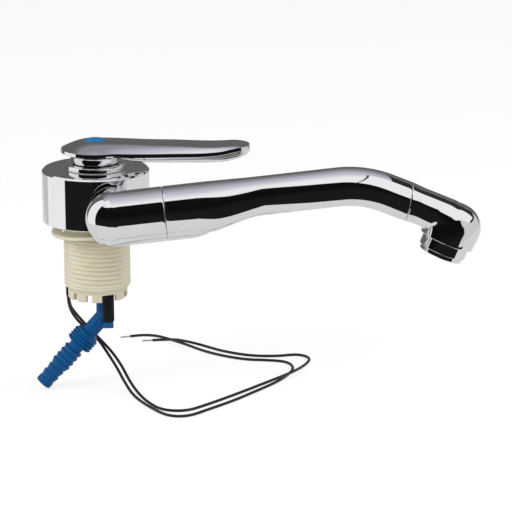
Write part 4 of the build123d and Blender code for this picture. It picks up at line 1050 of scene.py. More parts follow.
@dataclass(frozen=True)
class Shank:
    """Moulded shank with its thread and teeth, and the soft seal that hangs on its neck.

    Attributes:
        thread_r: Radius over the thread's crests. Lengths are in millimetres.
        depth: Depth of the thread at the front and the back.
        side_depth: Share of that depth that is left at the sides.
        turn_in: Sines of the angle from the side between which the depth changes.
        pitch: Distance from one turn of the thread to the next.
        rows: Rows of points on one turn.
        groove: Share of the pitch and share of the depth, across one turn.
        thread_top: Level of the thread's start.
        thread_low: Level of its end.
        starts: Where the groove starts and is full, as a run past the thread's start.
        stops: Where the groove starts to fade and is gone, as a run past its end.
        run_out: How far the rows of the thread go on past its end.
        chamfer_low: Level of the lower end of the cone under the thread.
        castle_r: Radius over the teeth.
        castle_top: Level where the notches between the teeth start.
        end: Level of the lower end.
        notches: Direction of each notch in degrees, and its width.
        bore_r: Radius of the bore.
        flange_r: Radius of the flange.
        flange_t: Its thickness.
        edge: Rounding of the flange's edges.
        end_edge: Bevel of the lower end.
        seal_in_r: Inner radius of the seal.
        seal_r: Its outer radius.
        seal_t: Its thickness.
        seal_edge: Rounding of its edges.
        seal_level: Level of its middle.
        seal_tilt: Its tilt towards +X in degrees.
    """

    thread_r: float = 19.25
    depth: float = 1.1
    side_depth: float = 0.2
    turn_in: Span = (0.62, 0.8)
    pitch: float = 2.65
    rows: int = 16
    groove: Table = ((0.0, 0.0), (0.08, 0.1), (0.3, 0.95), (0.38, 1.0), (0.46, 0.95), (0.78, 0.1),
                     (0.86, 0.0), (1.0, 0.0))
    thread_top: float = -7.75
    thread_low: float = -37.0
    starts: Span = (-0.4, 0.8)
    stops: Span = (-0.6, 0.4)
    run_out: float = 0.8
    chamfer_low: float = -40.275
    castle_r: float = 17.3
    castle_top: float = -41.175
    end: float = -45.475
    notches: Table = ((-140.0, 3.4), (-108.0, 3.4), (-68.0, 9.0), (-24.0, 3.4), (20.0, 3.4),
                      (60.0, 3.4), (100.0, 9.0), (140.0, 3.4), (173.0, 7.4))
    bore_r: float = 14.6
    flange_r: float = 27.2
    flange_t: float = 3.0
    edge: float = 0.35
    end_edge: float = 0.3
    seal_in_r: float = 20.2
    seal_r: float = 26.3
    seal_t: float = 1.8
    seal_edge: float = 0.4
    seal_level: float = -4.2
    seal_tilt: float = -6.5

    def columns(self) -> tuple[np.ndarray, np.ndarray, np.ndarray]:
        """Place the grid's columns so that they follow the notches' sides.

        A notch has parallel sides, so its half angle at a radius is the arc whose sine is
        half the width over that radius.

        Returns:
            Angles of the columns at the outer and the inner wall, and which are notches.
        """
        fewest, apart, whole_turn = 6, 2.0, 360.0
        outer, inner, notch = [], [], []
        marks = []
        for centre, width in self.notches:
            half_out = math.degrees(math.asin(width / 2 / self.castle_r))
            half_in = math.degrees(math.asin(width / 2 / self.bore_r))
            marks.append((centre - half_out, centre - half_in))
            marks.append((centre + half_out, centre + half_in))
        marks.append((marks[0][0] + whole_turn, marks[0][1] + whole_turn))
        for k, (start, end) in enumerate(zip(marks[:-1], marks[1:])):
            count = max(fewest, round((end[0] - start[0]) / apart))
            share = np.arange(count) / count
            outer.append(start[0] + share * (end[0] - start[0]))
            inner.append(start[1] + share * (end[1] - start[1]))
            notch.append(np.full(count, k % 2 == 0))
        return (np.radians(np.concatenate(outer)), np.radians(np.concatenate(inner)),
                np.concatenate(notch))

    def thread(self, angle: np.ndarray, level: np.ndarray) -> np.ndarray:
        """Depth of the thread: a groove that winds down one pitch each turn.

        The depth is full at the front and the back, where the two halves of the mould
        open, and shallow at the sides, and it runs out at both ends.

        Args:
            angle: Angle about Z.
            level: Height.

        Returns:
            Depth below the crest.
        """
        turns = (self.thread_top - level) / self.pitch - angle / (2 * np.pi)
        groove = through(turns % 1.0, self.groove)
        facing = smooth_step(np.abs(np.sin(angle)), *self.turn_in)
        share = self.side_depth + (1 - self.side_depth) * facing
        start = smooth_step(self.thread_top - level, *self.starts)
        stop = smooth_step(self.thread_low - level, *self.stops)
        return self.depth * groove * share * start * (1 - stop)

    def shell(self) -> Patch:
        """The shank as one closed shell, with notches in its lower end."""
        angle_out, angle_in, notch = self.columns()
        head = rounded([(0.0, self.flange_t), (self.flange_r, self.flange_t), (self.flange_r, 0.0),
                        (self.thread_r, 0.0), (self.thread_r, self.thread_top)], self.edge, closed=False)
        apart = np.linalg.norm(np.diff(head, axis=0), axis=1) > 1e-6
        head = head[np.concatenate([[True], apart])]
        step = self.pitch / self.rows
        low = self.thread_low - self.run_out
        winding = np.arange(self.thread_top - step, low, -step)
        soft = 0.1
        foot = np.array([(self.thread_r - soft / 2, low),
                         (self.castle_r + soft, self.chamfer_low + soft),
                         (self.castle_r, self.chamfer_low - soft), (self.castle_r, self.castle_top),
                         (self.castle_r, self.end + self.end_edge),
                         (self.castle_r - self.end_edge, self.end)])
        radius = np.concatenate([head[:, 0], np.full(len(winding), self.thread_r), foot[:, 0]])
        level = np.concatenate([head[:, 1], winding, foot[:, 1]])
        radii = radius[:, None] - self.thread(angle_out[None, :], level[:, None])
        outer = np.stack([radii * np.cos(angle_out), radii * np.sin(angle_out),
                          np.broadcast_to(level[:, None], radii.shape)], -1)
        bore = np.minimum(radius, self.bore_r)
        depth = np.minimum(level, 0.0)
        inner = np.stack([bore[:, None] * np.cos(angle_in), bore[:, None] * np.sin(angle_in),
                          np.broadcast_to(depth[:, None], radii.shape)], -1)
        keep = np.ones((len(radius) - 1, len(angle_out)), bool)
        teeth = level[:-1] < self.castle_top + soft
        keep[np.ix_(teeth, notch)] = False
        flip = slice(None, None, -1)
        return walled(outer[flip], inner[flip], keep[flip], "last")

    def build(self, paint: Paint) -> list[bpy.types.Object]:
        """Make the shank and the seal, in their materials.

        Args:
            paint: The materials.

        Returns:
            The new objects.
        """
        shank = self.shell().piece("shank_skin", crease=40.0)
        half = self.seal_t / 2
        section = oblong((self.seal_in_r, self.seal_r), (-half, half))
        tilt = math.radians(self.seal_tilt)
        seal = lathe(rounded(section, self.seal_edge), (0.0, 0.0, self.seal_level),
                     (math.sin(tilt), 0.0, math.cos(tilt)))
        return [paint.dress(shank, Slot.NYLON, "base", "threaded_shank"),
                paint.dress(seal.piece("seal_skin"), Slot.SEAL, "base", "base_seal")]


# Body


@dataclass(frozen=True)
class Body:
    """Chromed shell with the spout's pivot, and the collar nut on top, in millimetres.

    Attributes:
        shell_r: Outer radius of the shell.
        foot: Level of its lower edge.
        top: Level of its top.
        chamfer: Bevel round the top.
        wall: Thickness of the walls.
        roof: Thickness of the roof.
        throat_r: Radius of the bore that turns on the column.
        throat_foot: Level of that bore's lower end.
        edges: Rounding of the shell's corners, from the foot up and round.
        pivot: Where the pivot's axis passes the shank's, in the tap's frame.
        pivot_r: Radius of the boss on the shell's side.
        pivot_bore_r: Radius of the pivot's bore.
        pivot_edge: Rounding of the pivot's corners.
        nipple_r: Radius of the nipple that the spout turns on.
        boss_start: Where the boss starts, inside the shell, along the pivot's axis.
        boss_end: Where it ends.
        nipple_end: Where the nipple ends.
        grooves: Start, end and floor radius of the nipple's grooves.
        nut_r: Outer radius of the nut.
        nut_thread_r: Outer radius of its thread.
        nut_bore_r: Radius of its bore.
        mouth_r: Radius of its mouth, in which the lever's ball moves.
        nut_levels: Levels of the nut's foot, seat, mouth floor and top.
        nut_edges: Rounding of its corners, from the foot up and round.
    """

    shell_r: float = 30.9
    foot: float = 0.3
    top: float = 30.6
    chamfer: float = 1.0
    wall: float = 2.6
    roof: float = 3.0
    throat_r: float = 16.88
    throat_foot: float = 3.3
    edges: tuple[float, ...] = (0.5, 0.25, 0.25, 0.3, 0.3, 0.3, 0.3, 0.3, 0.3)
    pivot: Triple = (7.7, 0.0, 15.05)
    pivot_r: float = 12.5
    pivot_bore_r: float = 5.5
    nipple_r: float = 8.9
    boss_start: float = 17.5
    boss_end: float = 35.0
    nipple_end: float = 47.5
    grooves: Table = ((37.45, 39.35, 7.4), (40.65, 42.55, 7.4), (45.6, 46.6, 8.0))
    pivot_edge: float = 0.15
    nut_r: float = 17.3
    nut_thread_r: float = 13.52
    nut_bore_r: float = 12.5
    mouth_r: float = 14.3
    nut_levels: tuple[float, float, float, float] = (28.2, 30.9, 31.3, 33.9)
    nut_edges: tuple[float, ...] = (0.2, 0.2, 0.2, 0.25, 1.4, 0.5, 0.6)

    def shell(self) -> Patch:
        """Bell of the shell, with the bore that turns on the column."""
        inside, sleeve_r, under = self.shell_r - self.wall, self.throat_r + self.wall, self.top - self.roof
        line = [(self.shell_r, self.foot), (self.shell_r, self.top - self.chamfer),
                (self.shell_r - self.chamfer, self.top), (self.throat_r, self.top),
                (self.throat_r, self.throat_foot), (sleeve_r, self.throat_foot), (sleeve_r, under),
                (inside, under), (inside, self.foot)]
        return lathe(rounded(line, self.edges), segments=256)

    def boss(self) -> Patch:
        """Boss on the shell's side and the grooved nipple beyond it."""
        line = [(self.pivot_bore_r, self.boss_start), (self.pivot_r, self.boss_start),
                (self.pivot_r, self.boss_end), (self.nipple_r, self.boss_end)]
        for start, end, floor in self.grooves:
            line += [(self.nipple_r, start), (floor, start), (floor, end), (self.nipple_r, end)]
        line += [(self.nipple_r, self.nipple_end), (self.pivot_bore_r, self.nipple_end)]
        return lathe(rounded(line, self.pivot_edge, 3), self.pivot, (0.0, -1.0, 0.0))

    def nut(self) -> Patch:
        """Collar nut with its thread inside the shell and its mouth round the ball."""
        foot, seat, floor, top = self.nut_levels
        line = [(self.nut_bore_r, foot), (self.nut_thread_r, foot), (self.nut_thread_r, seat),
                (self.nut_r, seat), (self.nut_r, top), (self.mouth_r, top), (self.nut_bore_r, floor)]
        return lathe(rounded(line, self.nut_edges, 8), segments=200)

    def build(self, paint: Paint) -> list[bpy.types.Object]:
        """Make the shell and the nut, in their materials.

        Args:
            paint: The materials.

        Returns:
            The new objects.
        """
        body = (self.shell() + self.boss()).piece("body_skin")
        return [paint.dress(body, Slot.CHROME, "swivel", "body_shell"),
                paint.dress(self.nut().piece("collar_skin"), Slot.CHROME, "base", "collar_nut")]


# Lever


@dataclass(frozen=True)
class Lever:
    """Flat paddle lever on its ball, with a soft dish for the thumb and the blue cap.

    It points along X, with its round hub on the shank's axis. Each table starts with X.

    Attributes:
        hub_r: Radius of the hub. Lengths are in millimetres.
        tip_from: X where the tip starts to round off.
        tip_length: Length of the rounded tip.
        tip_power: Power of the cosine that rounds it: the lower, the squarer.
        step: Distance of the outline's points along the arm.
        spine_end: X of the spine's end, from which the lines fan out to the tip.
        plan: Half width.
        rim: Height of the upper edge.
        shoulder: Half width and height of the line where the flank starts.
        ridge: Height of the spine.
        under: Height of the lower edge.
        roof: Height of the underside's hollow.
        hollow_from: X between which the hollow starts.
        hollow_to: X between which it ends.
        hollow_rows: Rows of the hollow, as shares of the way out to its wall.
        hollow_wall: Distance from the outline to the hollow's roof.
        fillet: Distance from the outline of the hollow's rounded edge, and its height.
        side: Distance in from the outline and share of the wall's height, going up.
        lip_in: How far the tilted band under the rim leans in.
        lip_deep: How deep under the rim it starts.
        lip_rows: Rows of that band, as shares of its height.
        flank_lift: How far the flank's line goes over the shoulder.
        join: Width of the soft change at the shoulder, and what wide places add to it.
        join_fade: X between which that addition shrinks.
        join_loss: How much of it goes.
        crown_rows: Rows of the upper side.
        crown_power: How much closer together they are at the rim.
        dish: X of the dish's middle and height of its lowest point.
        dish_r: Radius of the dish.
        dish_join: Width of the soft change at its edge.
        ball_r: Radius of the ball under the hub.
        ball_z: Level of its middle, which the lever turns about.
        ball_wall: Its thickness.
        ball_zone: Angles above the level plane where the ball's outside starts and ends.
        inner_zone: The same for its inside, from the top down.
        flare: Share of the height and radius of the flare on the ball.
        flare_z: Levels where the flare starts and ends.
        socket: Radius and level of the seat for the hub and of the spindle's bore.
        cap_r: Radius of the cap's dome.
        cap_top: Level of the cap's middle.
        cap_bulge: Radius of the dome's curve.
        cap_rim: Radius and level of the cap's edge and underside.
    """

    hub_r: float = 19.8
    tip_from: float = 81.2
    tip_length: float = 8.0
    tip_power: float = 0.9
    step: float = 0.8
    spine_end: float = 79.0
    plan: Table = ((0.0, 19.8), (5.0, 19.2), (10.0, 17.6), (14.0, 17.0), (20.0, 16.3), (31.0, 15.2),
                   (45.0, 14.2), (60.0, 13.2), (70.0, 12.3), (78.0, 11.3), (84.0, 10.7), (92.0, 10.3))
    rim: Table = ((-20.0, 42.4), (3.0, 42.4), (10.0, 42.2), (20.0, 41.6), (31.0, 41.15),
                  (45.0, 40.85), (60.0, 40.5), (70.0, 40.9), (78.0, 42.2), (84.0, 43.2), (90.0, 43.4))
    shoulder: Table = ((0.0, 11.2, 46.75), (10.0, 10.8, 46.3), (20.0, 10.4, 45.75),
                       (31.0, 10.2, 45.1), (45.0, 10.2, 44.5), (60.0, 9.9, 43.8),
                       (70.0, 9.3, 43.65), (79.0, 8.5, 43.95))
    ridge: Table = ((-1.0, 47.5), (0.0, 47.5), (10.0, 47.0), (20.0, 46.4), (31.0, 45.7),
                    (45.0, 45.1), (60.0, 44.5), (70.0, 44.2), (79.0, 44.3))
    under: Table = ((-20.0, 40.3), (13.0, 40.3), (15.0, 39.0), (19.0, 37.8), (25.0, 36.8),
                    (34.0, 36.1), (50.0, 35.6), (64.0, 35.1), (72.0, 35.1), (78.0, 35.9),
                    (84.0, 37.2), (88.0, 38.1), (90.0, 38.5))
    roof: float = 40.2
    hollow_from: Span = (15.0, 21.0)
    hollow_to: Span = (62.0, 69.0)
    hollow_rows: tuple[float, ...] = (0.0, 0.35, 0.7, 0.97)
    hollow_wall: float = 3.4
    fillet: Span = (3.2, 0.5)
    side: Table = ((3.1, 0.0), (1.7, 0.0), (1.4, 0.012), (1.0, 0.05), (0.62, 0.12), (0.32, 0.2),
                   (0.13, 0.29), (0.03, 0.37), (0.0, 0.44), (0.0, 0.47))
    lip_in: float = 0.3
    lip_deep: float = 1.7
    lip_rows: tuple[float, ...] = (-0.1, 0.0, 0.07, 0.93, 0.98)
    flank_lift: float = 0.5
    join: Span = (0.9, 2.6)
    join_fade: Span = (25.0, 78.0)
    join_loss: float = 0.8
    crown_rows: int = 37
    crown_power: float = 1.25
    dish: Span = (67.0, 43.3)
    dish_r: float = 90.0
    dish_join: float = 0.9
    ball_r: float = 14.5
    ball_z: float = 39.5
    ball_wall: float = 2.0
    ball_zone: Span = (-29.0, -6.3)
    inner_zone: Span = (-14.0, -34.0)
    flare: Table = ((0.0, 14.41), (0.35, 14.75), (0.7, 15.5), (1.0, 16.5))
    flare_z: Span = (37.91, 40.2)
    socket: Table = ((10.9, 40.25), (10.9, 41.6), (3.24, 41.6), (3.24, 36.5), (12.1, 36.5))
    cap_r: float = 5.6
    cap_top: float = 48.1
    cap_bulge: float = 32.0
    cap_rim: Table = ((5.78, 47.53), (5.85, 47.4), (5.85, 46.0), (0.0, 46.0))

    def outline(self) -> np.ndarray:
        """Plan outline, as a ring from the tip over the +Y side and back."""
        hub_points, tip_points = 49, 41
        turn = np.radians(np.linspace(180.0, 90.0, hub_points))
        hub = self.hub_r * np.column_stack([np.cos(turn), np.sin(turn)])
        x = np.arange(self.step, self.tip_from, self.step)
        arm = np.column_stack([x, through(x, self.plan)])
        swing = np.radians(np.linspace(0.0, 90.0, tip_points))
        tip_x = self.tip_from + self.tip_length * np.sin(swing)
        tip_y = through(tip_x, self.plan) * np.cos(swing) ** self.tip_power
        half = np.vstack([hub, arm, np.column_stack([tip_x, tip_y])])
        half[0, 1] = half[-1, 1] = 0.0
        back = half[1:-1] * np.array([1.0, -1.0])
        return np.vstack([half[::-1], back])

    def crown(self, spine: np.ndarray, width: np.ndarray, rim: np.ndarray,
              share: np.ndarray) -> np.ndarray:
        """Height of the upper side on the line from spine to rim.

        A flat arch falls from the ridge to the shoulder by the square of the distance,
        a flank falls straight to the rim, and the lower of the two counts, with a soft
        change between them that narrows towards the tip.

        Args:
            spine: X of the line's start on the spine.
            width: Length of the line.
            rim: Height at the rim.
            share: Share of the line, 0 on the spine and 1 at the rim.

        Returns:
            The heights.
        """
        ridge = through(spine, self.ridge)
        shoulder = through(spine, self.shoulder) / through(spine, self.plan)
        level = through(spine, self.shoulder, 2)
        arch = ridge - (ridge - level) * (share / shoulder) ** 2
        flank = rim + (level + self.flank_lift - rim) * (1 - share) / (1 - shoulder)
        least, more = self.join
        more = more * (1 - self.join_loss * smooth_step(spine, *self.join_fade))
        return -soft_max(-arch, -flank, least + more * width / self.hub_r)

    def lower_rows(self, x: np.ndarray, width: np.ndarray,
                   rim: np.ndarray) -> list[tuple[np.ndarray, np.ndarray]]:
        """Rows of the hollow underside and of the side wall.

        Args:
            x: X of each point of the outline.
            width: Its distance from the spine.
            rim: Height of the rim there.

        Returns:
            Share of the way from the spine to the outline and height, for each row.
        """
        under = through(x, self.under)
        hollow = smooth_step(x, *self.hollow_from) * (1 - smooth_step(x, *self.hollow_to))
        roof = under + (self.roof - under) * hollow
        least, least_inside, slight = 0.02, 0.05, 0.02
        within = np.maximum(1 - self.hollow_wall / width, least_inside)
        rows = [(share * within, roof) for share in self.hollow_rows]
        inset, drop = self.fillet
        rows.append((np.maximum(1 - inset / width, least), roof - drop * hollow + slight * (rim - under)))
        for inset, lift in self.side:
            rows.append((np.maximum(1 - inset / width, least), under + lift * (rim - under)))
        return rows

    def upper_rows(self, spine: np.ndarray, reach: np.ndarray, width: np.ndarray,
                   rim: np.ndarray) -> list[tuple[np.ndarray, np.ndarray]]:
        """Rows of the tilted band under the rim and of the crown with its dish.

        The crown's first rows would lie beyond the band, and fall on its upper edge
        instead, where they become one.

        Args:
            spine: Nearest point of the spine for each point of the outline.
            reach: Way from there to the outline.
            width: Length of that way.
            rim: Height of the rim.

        Returns:
            Share of the way and height, for each row.
        """
        edge = 1 - self.lip_in / width
        foot = rim - self.lip_deep
        brow = self.crown(spine[:, 0], width, rim, edge)
        rows = [(1 + (edge - 1) * max(lift, 0.0), foot + (brow - foot) * lift) for lift in self.lip_rows]
        for share in 1 - np.linspace(0.0, 1.0, self.crown_rows) ** self.crown_power:
            inward = np.minimum(share, edge)
            level = self.crown(spine[:, 0], width, rim, inward)
            place = spine + reach * inward[:, None] - np.array([self.dish[0], 0.0])
            ball = np.sqrt(self.dish_r ** 2 - (place ** 2).sum(1))
            dish = self.dish[1] + self.dish_r - ball
            rows.append((inward, -soft_max(-level, -dish, self.dish_join)))
        return rows

    def skin(self) -> Patch:
        """The whole lever as rings: hollow underside, side wall, rim and crown."""
        ring = self.outline()
        spine = np.column_stack([np.clip(ring[:, 0], 0.0, self.spine_end), np.zeros(len(ring))])
        reach = ring - spine
        width = np.linalg.norm(reach, axis=1)
        rim = through(ring[:, 0], self.rim)
        rows = self.lower_rows(ring[:, 0], width, rim) + self.upper_rows(spine, reach, width, rim)
        points = np.array([np.column_stack([spine + reach * share[:, None], level])
                           for share, level in rows])
        return Patch(points.reshape(-1, 3), grid_faces(len(rows), len(ring)))

    def ball(self) -> Patch:
        """Chromed bowl under the hub: the zone of a ball, with a flare on top."""
        outer_points, flare_points, inner_points = 24, 10, 12
        swing = np.radians(np.linspace(*self.ball_zone, outer_points))
        outside = self.ball_r * np.column_stack([np.cos(swing), np.sin(swing)])
        share = np.linspace(0.0, 1.0, flare_points)[1:]
        low, high = self.flare_z
        flare = np.column_stack([through(share, self.flare), low + (high - low) * share])
        turn = np.radians(np.linspace(*self.inner_zone, inner_points))
        inside = (self.ball_r - self.ball_wall) * np.column_stack([np.cos(turn), np.sin(turn)])
        middle = np.array([0.0, self.ball_z])
        return lathe(np.vstack([outside + middle, flare, self.socket, inside + middle]), segments=200)

    def cap(self) -> Patch:
        """Blue cap: a low dome with a small bevel."""
        dome_points = 10
        radius = np.linspace(0.0, self.cap_r, dome_points)
        dome = np.column_stack([radius, self.cap_top - radius ** 2 / (2 * self.cap_bulge)])
        return lathe(np.vstack([dome, self.cap_rim]), closed=False, segments=96)

    def build(self, paint: Paint) -> list[bpy.types.Object]:
        """Make the lever, its ball and its cap, in their materials.

        Args:
            paint: The materials.

        Returns:
            The new objects.
        """
        return [
            paint.dress(self.skin().piece("lever_skin", crease=38.0), Slot.CHROME, "lever",
                        "lever_handle"),
            paint.dress(self.ball().piece("ball_skin", crease=40.0), Slot.CHROME, "lever", "lever_ball"),
            paint.dress(self.cap().piece("cap_skin"), Slot.CAP_BLUE, "lever", "index_cap"),
        ]


# Spout


@dataclass(frozen=True)
class Spout:
    """Folding spout: rounded root, bent tube, nozzle and the screwed outlet ring.

    The root's frame has its origin on the pivot and x along the spout. The outlet's
    frame has its origin above the outlet, x along the nozzle and z up.

    Attributes:
        root: Frame of the root. Lengths are in millimetres and angles in degrees.
        elbow_r: Radius of the ball at the root.
        belly_r: Radius of the tube beside it.
        wall: Thickness of the walls.
        seam_1: Run of the first seam.
        seam_2: Run of the second seam past the bend.
        seam_tilt: How far the second seam leans.
        seam_gap: Width of the open seams.
        seam_edge_r: How far from a seam its edges start to round off.
        seam_edge_in: How far they turn in.
        seam_rows: Distance of the first rings from a seam.
        hub_opening: Radius of the opening in the root's side.
        hub_line: Radius and run of the hub that turns on the pivot.
        hub_edge: Rounding of its corners.
        belly_end: Run where the tube starts to narrow.
        tube_start: Run where it has its own radius.
        tube_r: Radius of the tube.
        rise: How far its axis rises meanwhile.
        bend_start: Run where the bend starts.
        bend_r: Radius of the bend.
        bend: Its angle.
        keel_r: Radius of the round bar along the underside.
        keel_thin: How much less that is at the bar's end.
        keel_drop: How far the bar's axis lies below the tube's.
        keel_lift: How much less that is at its end.
        keel_start: Run of the bar's start, which is round.
        keel_fade: Run where the bar starts to shrink.
        keel_end: Run where it ends.
        keel_least: Least radius at which the bar shows.
        keel_join: Width of the soft change between bar and tube.
        crease: Depth and half width of the fine crease between them.
        outlet_run: Run of the outlet's axis past the bend.
        nozzle_r: Radius of the nozzle's tube.
        slim: X between which the tube narrows to that radius.
        flare_r: Radius where it meets the head.
        flare_drop: How far its axis falls there.
        flare: X between which it widens.
        tube_end: How far before the outlet's axis the tube rounds off.
        head_r: Outer radius of the head.
        head_top: Level of its top.
        head_flat: Radius of the flat middle of its top.
        head_narrow: How much narrower the head's upper part is across.
        narrow_z: Levels between which it narrows.
        narrow_x: X between which that fades to the front.
        narrow_loss: How much of it goes there.
        skirt_r: Outer radius at the skirt's foot.
        skirt_low: Depth of the skirt's foot.
        join: Width of the soft change between tube and head, and what wide places add.
        join_z: Levels between which that addition grows.
        join_x: X between which it grows on the front.
        join_top: Levels between which it shrinks again.
        join_loss: How much of it goes there.
        hinge: Point that the rings swing about, from upright to level, as x and z.
        swing: Distance of the rings' centres from it: above it, and how much more in front.
        skirt_rows: Depth of the last rings below the hinge.
        skirt_wall: Thickness of the wall at the skirt's foot.
        skirt_edge: How far the last rings turn in.
        ring_line: Radius and level of the outlet ring.
        ring_edges: Rounding of its corners.
    """

    root: Place = Place((7.7, -56.0, 15.05), 5.4)
    elbow_r: float = 14.75
    belly_r: float = 14.5
    wall: float = 1.8
    seam_1: float = 29.1
    seam_2: float = 13.0
    seam_tilt: float = 11.0
    seam_gap: float = 0.2
    seam_edge_r: float = 0.35
    seam_edge_in: float = 0.3
    seam_rows: tuple[float, ...] = (0.0, 0.12, 0.25, 0.4)
    hub_opening: float = 11.6
    hub_line: Table = ((8.98, 20.0), (12.5, 20.0), (12.5, 8.0), (10.9, 8.0), (10.9, 10.4), (8.98, 10.4))
    hub_edge: float = 0.3
    belly_end: float = 48.0
    tube_start: float = 84.0
    tube_r: float = 10.95
    rise: float = 3.12
    bend_start: float = 126.5
    bend_r: float = 58.5
    bend: float = 27.5
    keel_r: float = 11.8
    keel_thin: float = 2.4
    keel_drop: float = 4.5
    keel_lift: float = 3.6
    keel_start: float = -1.0
    keel_fade: float = 43.0
    keel_end: float = 69.0
    keel_least: float = 3.0
    keel_join: float = 0.25
    crease: Span = (0.28, 0.22)
    outlet_run: float = 42.3
    nozzle_r: float = 10.4
    slim: Span = (-30.3, -20.0)
    flare_r: float = 10.8
    flare_drop: float = 0.7
    flare: Span = (-26.0, -1.0)
    tube_end: float = 5.0
    head_r: float = 16.2
    head_top: float = 9.5
    head_flat: float = 2.6
    head_narrow: float = 0.3
    narrow_z: Span = (-13.0, 4.0)
    narrow_x: Span = (2.0, 15.0)
    narrow_loss: float = 0.6
    skirt_r: float = 15.7
    skirt_low: float = 13.0
    join: Span = (0.6, 3.6)
    join_z: Span = (-9.0, 1.0)
    join_x: Span = (-3.0, 8.0)
    join_top: Span = (2.0, 8.0)
    join_loss: float = 0.9
    hinge: Span = (-15.9, -11.2)
    swing: Span = (12.0, 3.6)
    skirt_rows: tuple[float, ...] = (0.4, 0.8, 1.1, 1.3, 1.5, 1.65, 1.75, 1.8)
    skirt_wall: float = 4.0
    skirt_edge: tuple[float, ...] = (0.02, 0.08, 0.2, 0.4)
    ring_line: Table = ((11.56, -8.0), (11.56, -13.2), (13.6, -13.2), (13.6, -19.4), (12.5, -19.4),
                        (12.5, -22.0), (9.8, -22.0), (9.8, -19.4), (10.6, -19.4), (10.6, -8.0))
    ring_edges: tuple[float, ...] = (0.1, 0.1, 0.25, 0.3, 0.1, 0.45, 0.3, 0.1, 0.1, 0.1)
    # Angles of the points round every ring
    TURN: ClassVar[np.ndarray] = np.linspace(0.0, 2 * np.pi, 240, endpoint=False)

    def seam_edge(self, way: np.ndarray) -> np.ndarray:
        """How far the skin turns in beside a seam, by the distance from the seam."""
        return self.seam_edge_in * np.maximum(1 - way / self.seam_edge_r, 0.0) ** 2

    def body_radius(self, x: np.ndarray) -> tuple[np.ndarray, np.ndarray]:
        """Form of the root, belly and tube without the keel.

        Args:
            x: Places along the root's x.

        Returns:
            Outer radius round the tube's axis, and height of that axis.
        """
        ball = np.sqrt(np.maximum(self.elbow_r ** 2 - x ** 2, 0.0))
        slim = smooth_step(x, self.belly_end, self.tube_start)
        tube = self.belly_r + (self.tube_r - self.belly_r) * slim
        return np.where(x <= 0, ball, np.maximum(ball, tube)), self.rise * slim

    def keel(self, x: np.ndarray, rise: np.ndarray) -> tuple[np.ndarray, np.ndarray]:
        """Distance of the keel's surface from the tube's axis, and where the keel shows.

        The keel is a round bar below the tube. Seen from the tube's axis, its far side
        is at the bar's drop times the sine of the angle downwards, plus the root of its
        radius squared less the square of the drop times the cosine.

        Args:
            x: Place of each ring, as a column.
            rise: Height of the tube's axis there.

        Returns:
            Distance for each ring and angle, 0 where there is no keel, and whether the
            ring has one.
        """
        fade = smooth_step(x, self.keel_fade, self.keel_end)
        before = np.maximum(self.keel_start - x, 0.0)
        bar = np.sqrt(np.maximum((self.keel_r - self.keel_thin * fade) ** 2 - before ** 2, 0.01))
        drop = self.keel_drop - self.keel_lift * fade + rise
        sine, cosine = np.sin(self.TURN), np.cos(self.TURN)
        under = bar ** 2 - (drop * cosine) ** 2
        shown = (bar > self.keel_least) & (x < self.keel_end)
        far = -drop * sine + np.sqrt(np.maximum(under, 0.0))
        return np.where((under > 0) & (sine < 0) & shown, far, 0.0), shown

    def root_ring(self, x: np.ndarray, inset: float, shorter: np.ndarray | float) -> np.ndarray:
        """Rings of the root and belly, with the keel along the underside.

        Args:
            x: Place of each ring.
            inset: How far inside the outer skin.
            shorter: Extra inset of each ring, for rounded seam edges.

        Returns:
            Points, as rings of the tap's frame.
        """
        x = x[:, None]
        radius, rise = self.body_radius(x)
        keel, shown = self.keel(x, rise)
        edge = soft_max(np.broadcast_to(radius, keel.shape), keel, self.keel_join)
        if inset == 0.0:
            depth, half = self.crease
            edge = edge - depth * np.exp(-((keel - radius) / half) ** 2) * shown
        edge = np.where(radius < 0.01, 0.0, edge)
        edge = np.maximum(edge - inset - np.reshape(shorter, (-1, 1)), 0.0)
        return self.root.out(np.stack([np.broadcast_to(x, edge.shape), edge * np.cos(self.TURN),
                                       rise + edge * np.sin(self.TURN)], -1))

    def elbow(self) -> Patch:
        """Rounded root, open at the seam, with the hub that turns on the pivot."""
        end = self.seam_1 - self.seam_gap / 2
        ball_rings, belly_rings = 34, 22
        beside = np.array(self.seam_rows)[::-1]
        swing = np.linspace(0.0, np.pi / 2, ball_rings)[:-1]
        straight = np.concatenate([np.linspace(0.0, end - beside[0], belly_rings), end - beside[1:]])
        x = np.concatenate([-self.elbow_r * np.cos(swing), straight])
        outer = self.root_ring(x, 0.0, self.seam_edge(end - x))
        inner_r = self.elbow_r - self.wall
        x_in = np.concatenate([-inner_r * np.cos(swing), straight])
        radius_in = np.where(x_in < 0, np.sqrt(np.maximum(inner_r ** 2 - x_in ** 2, 0.0)),
                             self.belly_r - self.wall)
        inner = self.root.out(np.stack([np.broadcast_to(x_in[:, None], outer.shape[:2]),
                                        radius_in[:, None] * np.cos(self.TURN),
                                        radius_in[:, None] * np.sin(self.TURN)], -1))
        middle = (x[:-1] + x[1:]) / 2
        radius, _ = self.body_radius(middle)
        between = self.TURN + np.pi / len(self.TURN)
        side = radius[:, None] * np.cos(between)
        high = radius[:, None] * np.sin(between)
        keep = (side <= 0) | (middle[:, None] ** 2 + high ** 2 >= self.hub_opening ** 2)
        hub = lathe(rounded(self.hub_line, self.hub_edge, 4), axis=(0.0, 1.0, 0.0)).placed(self.root)
        return walled(outer, inner, keep, "first") + hub

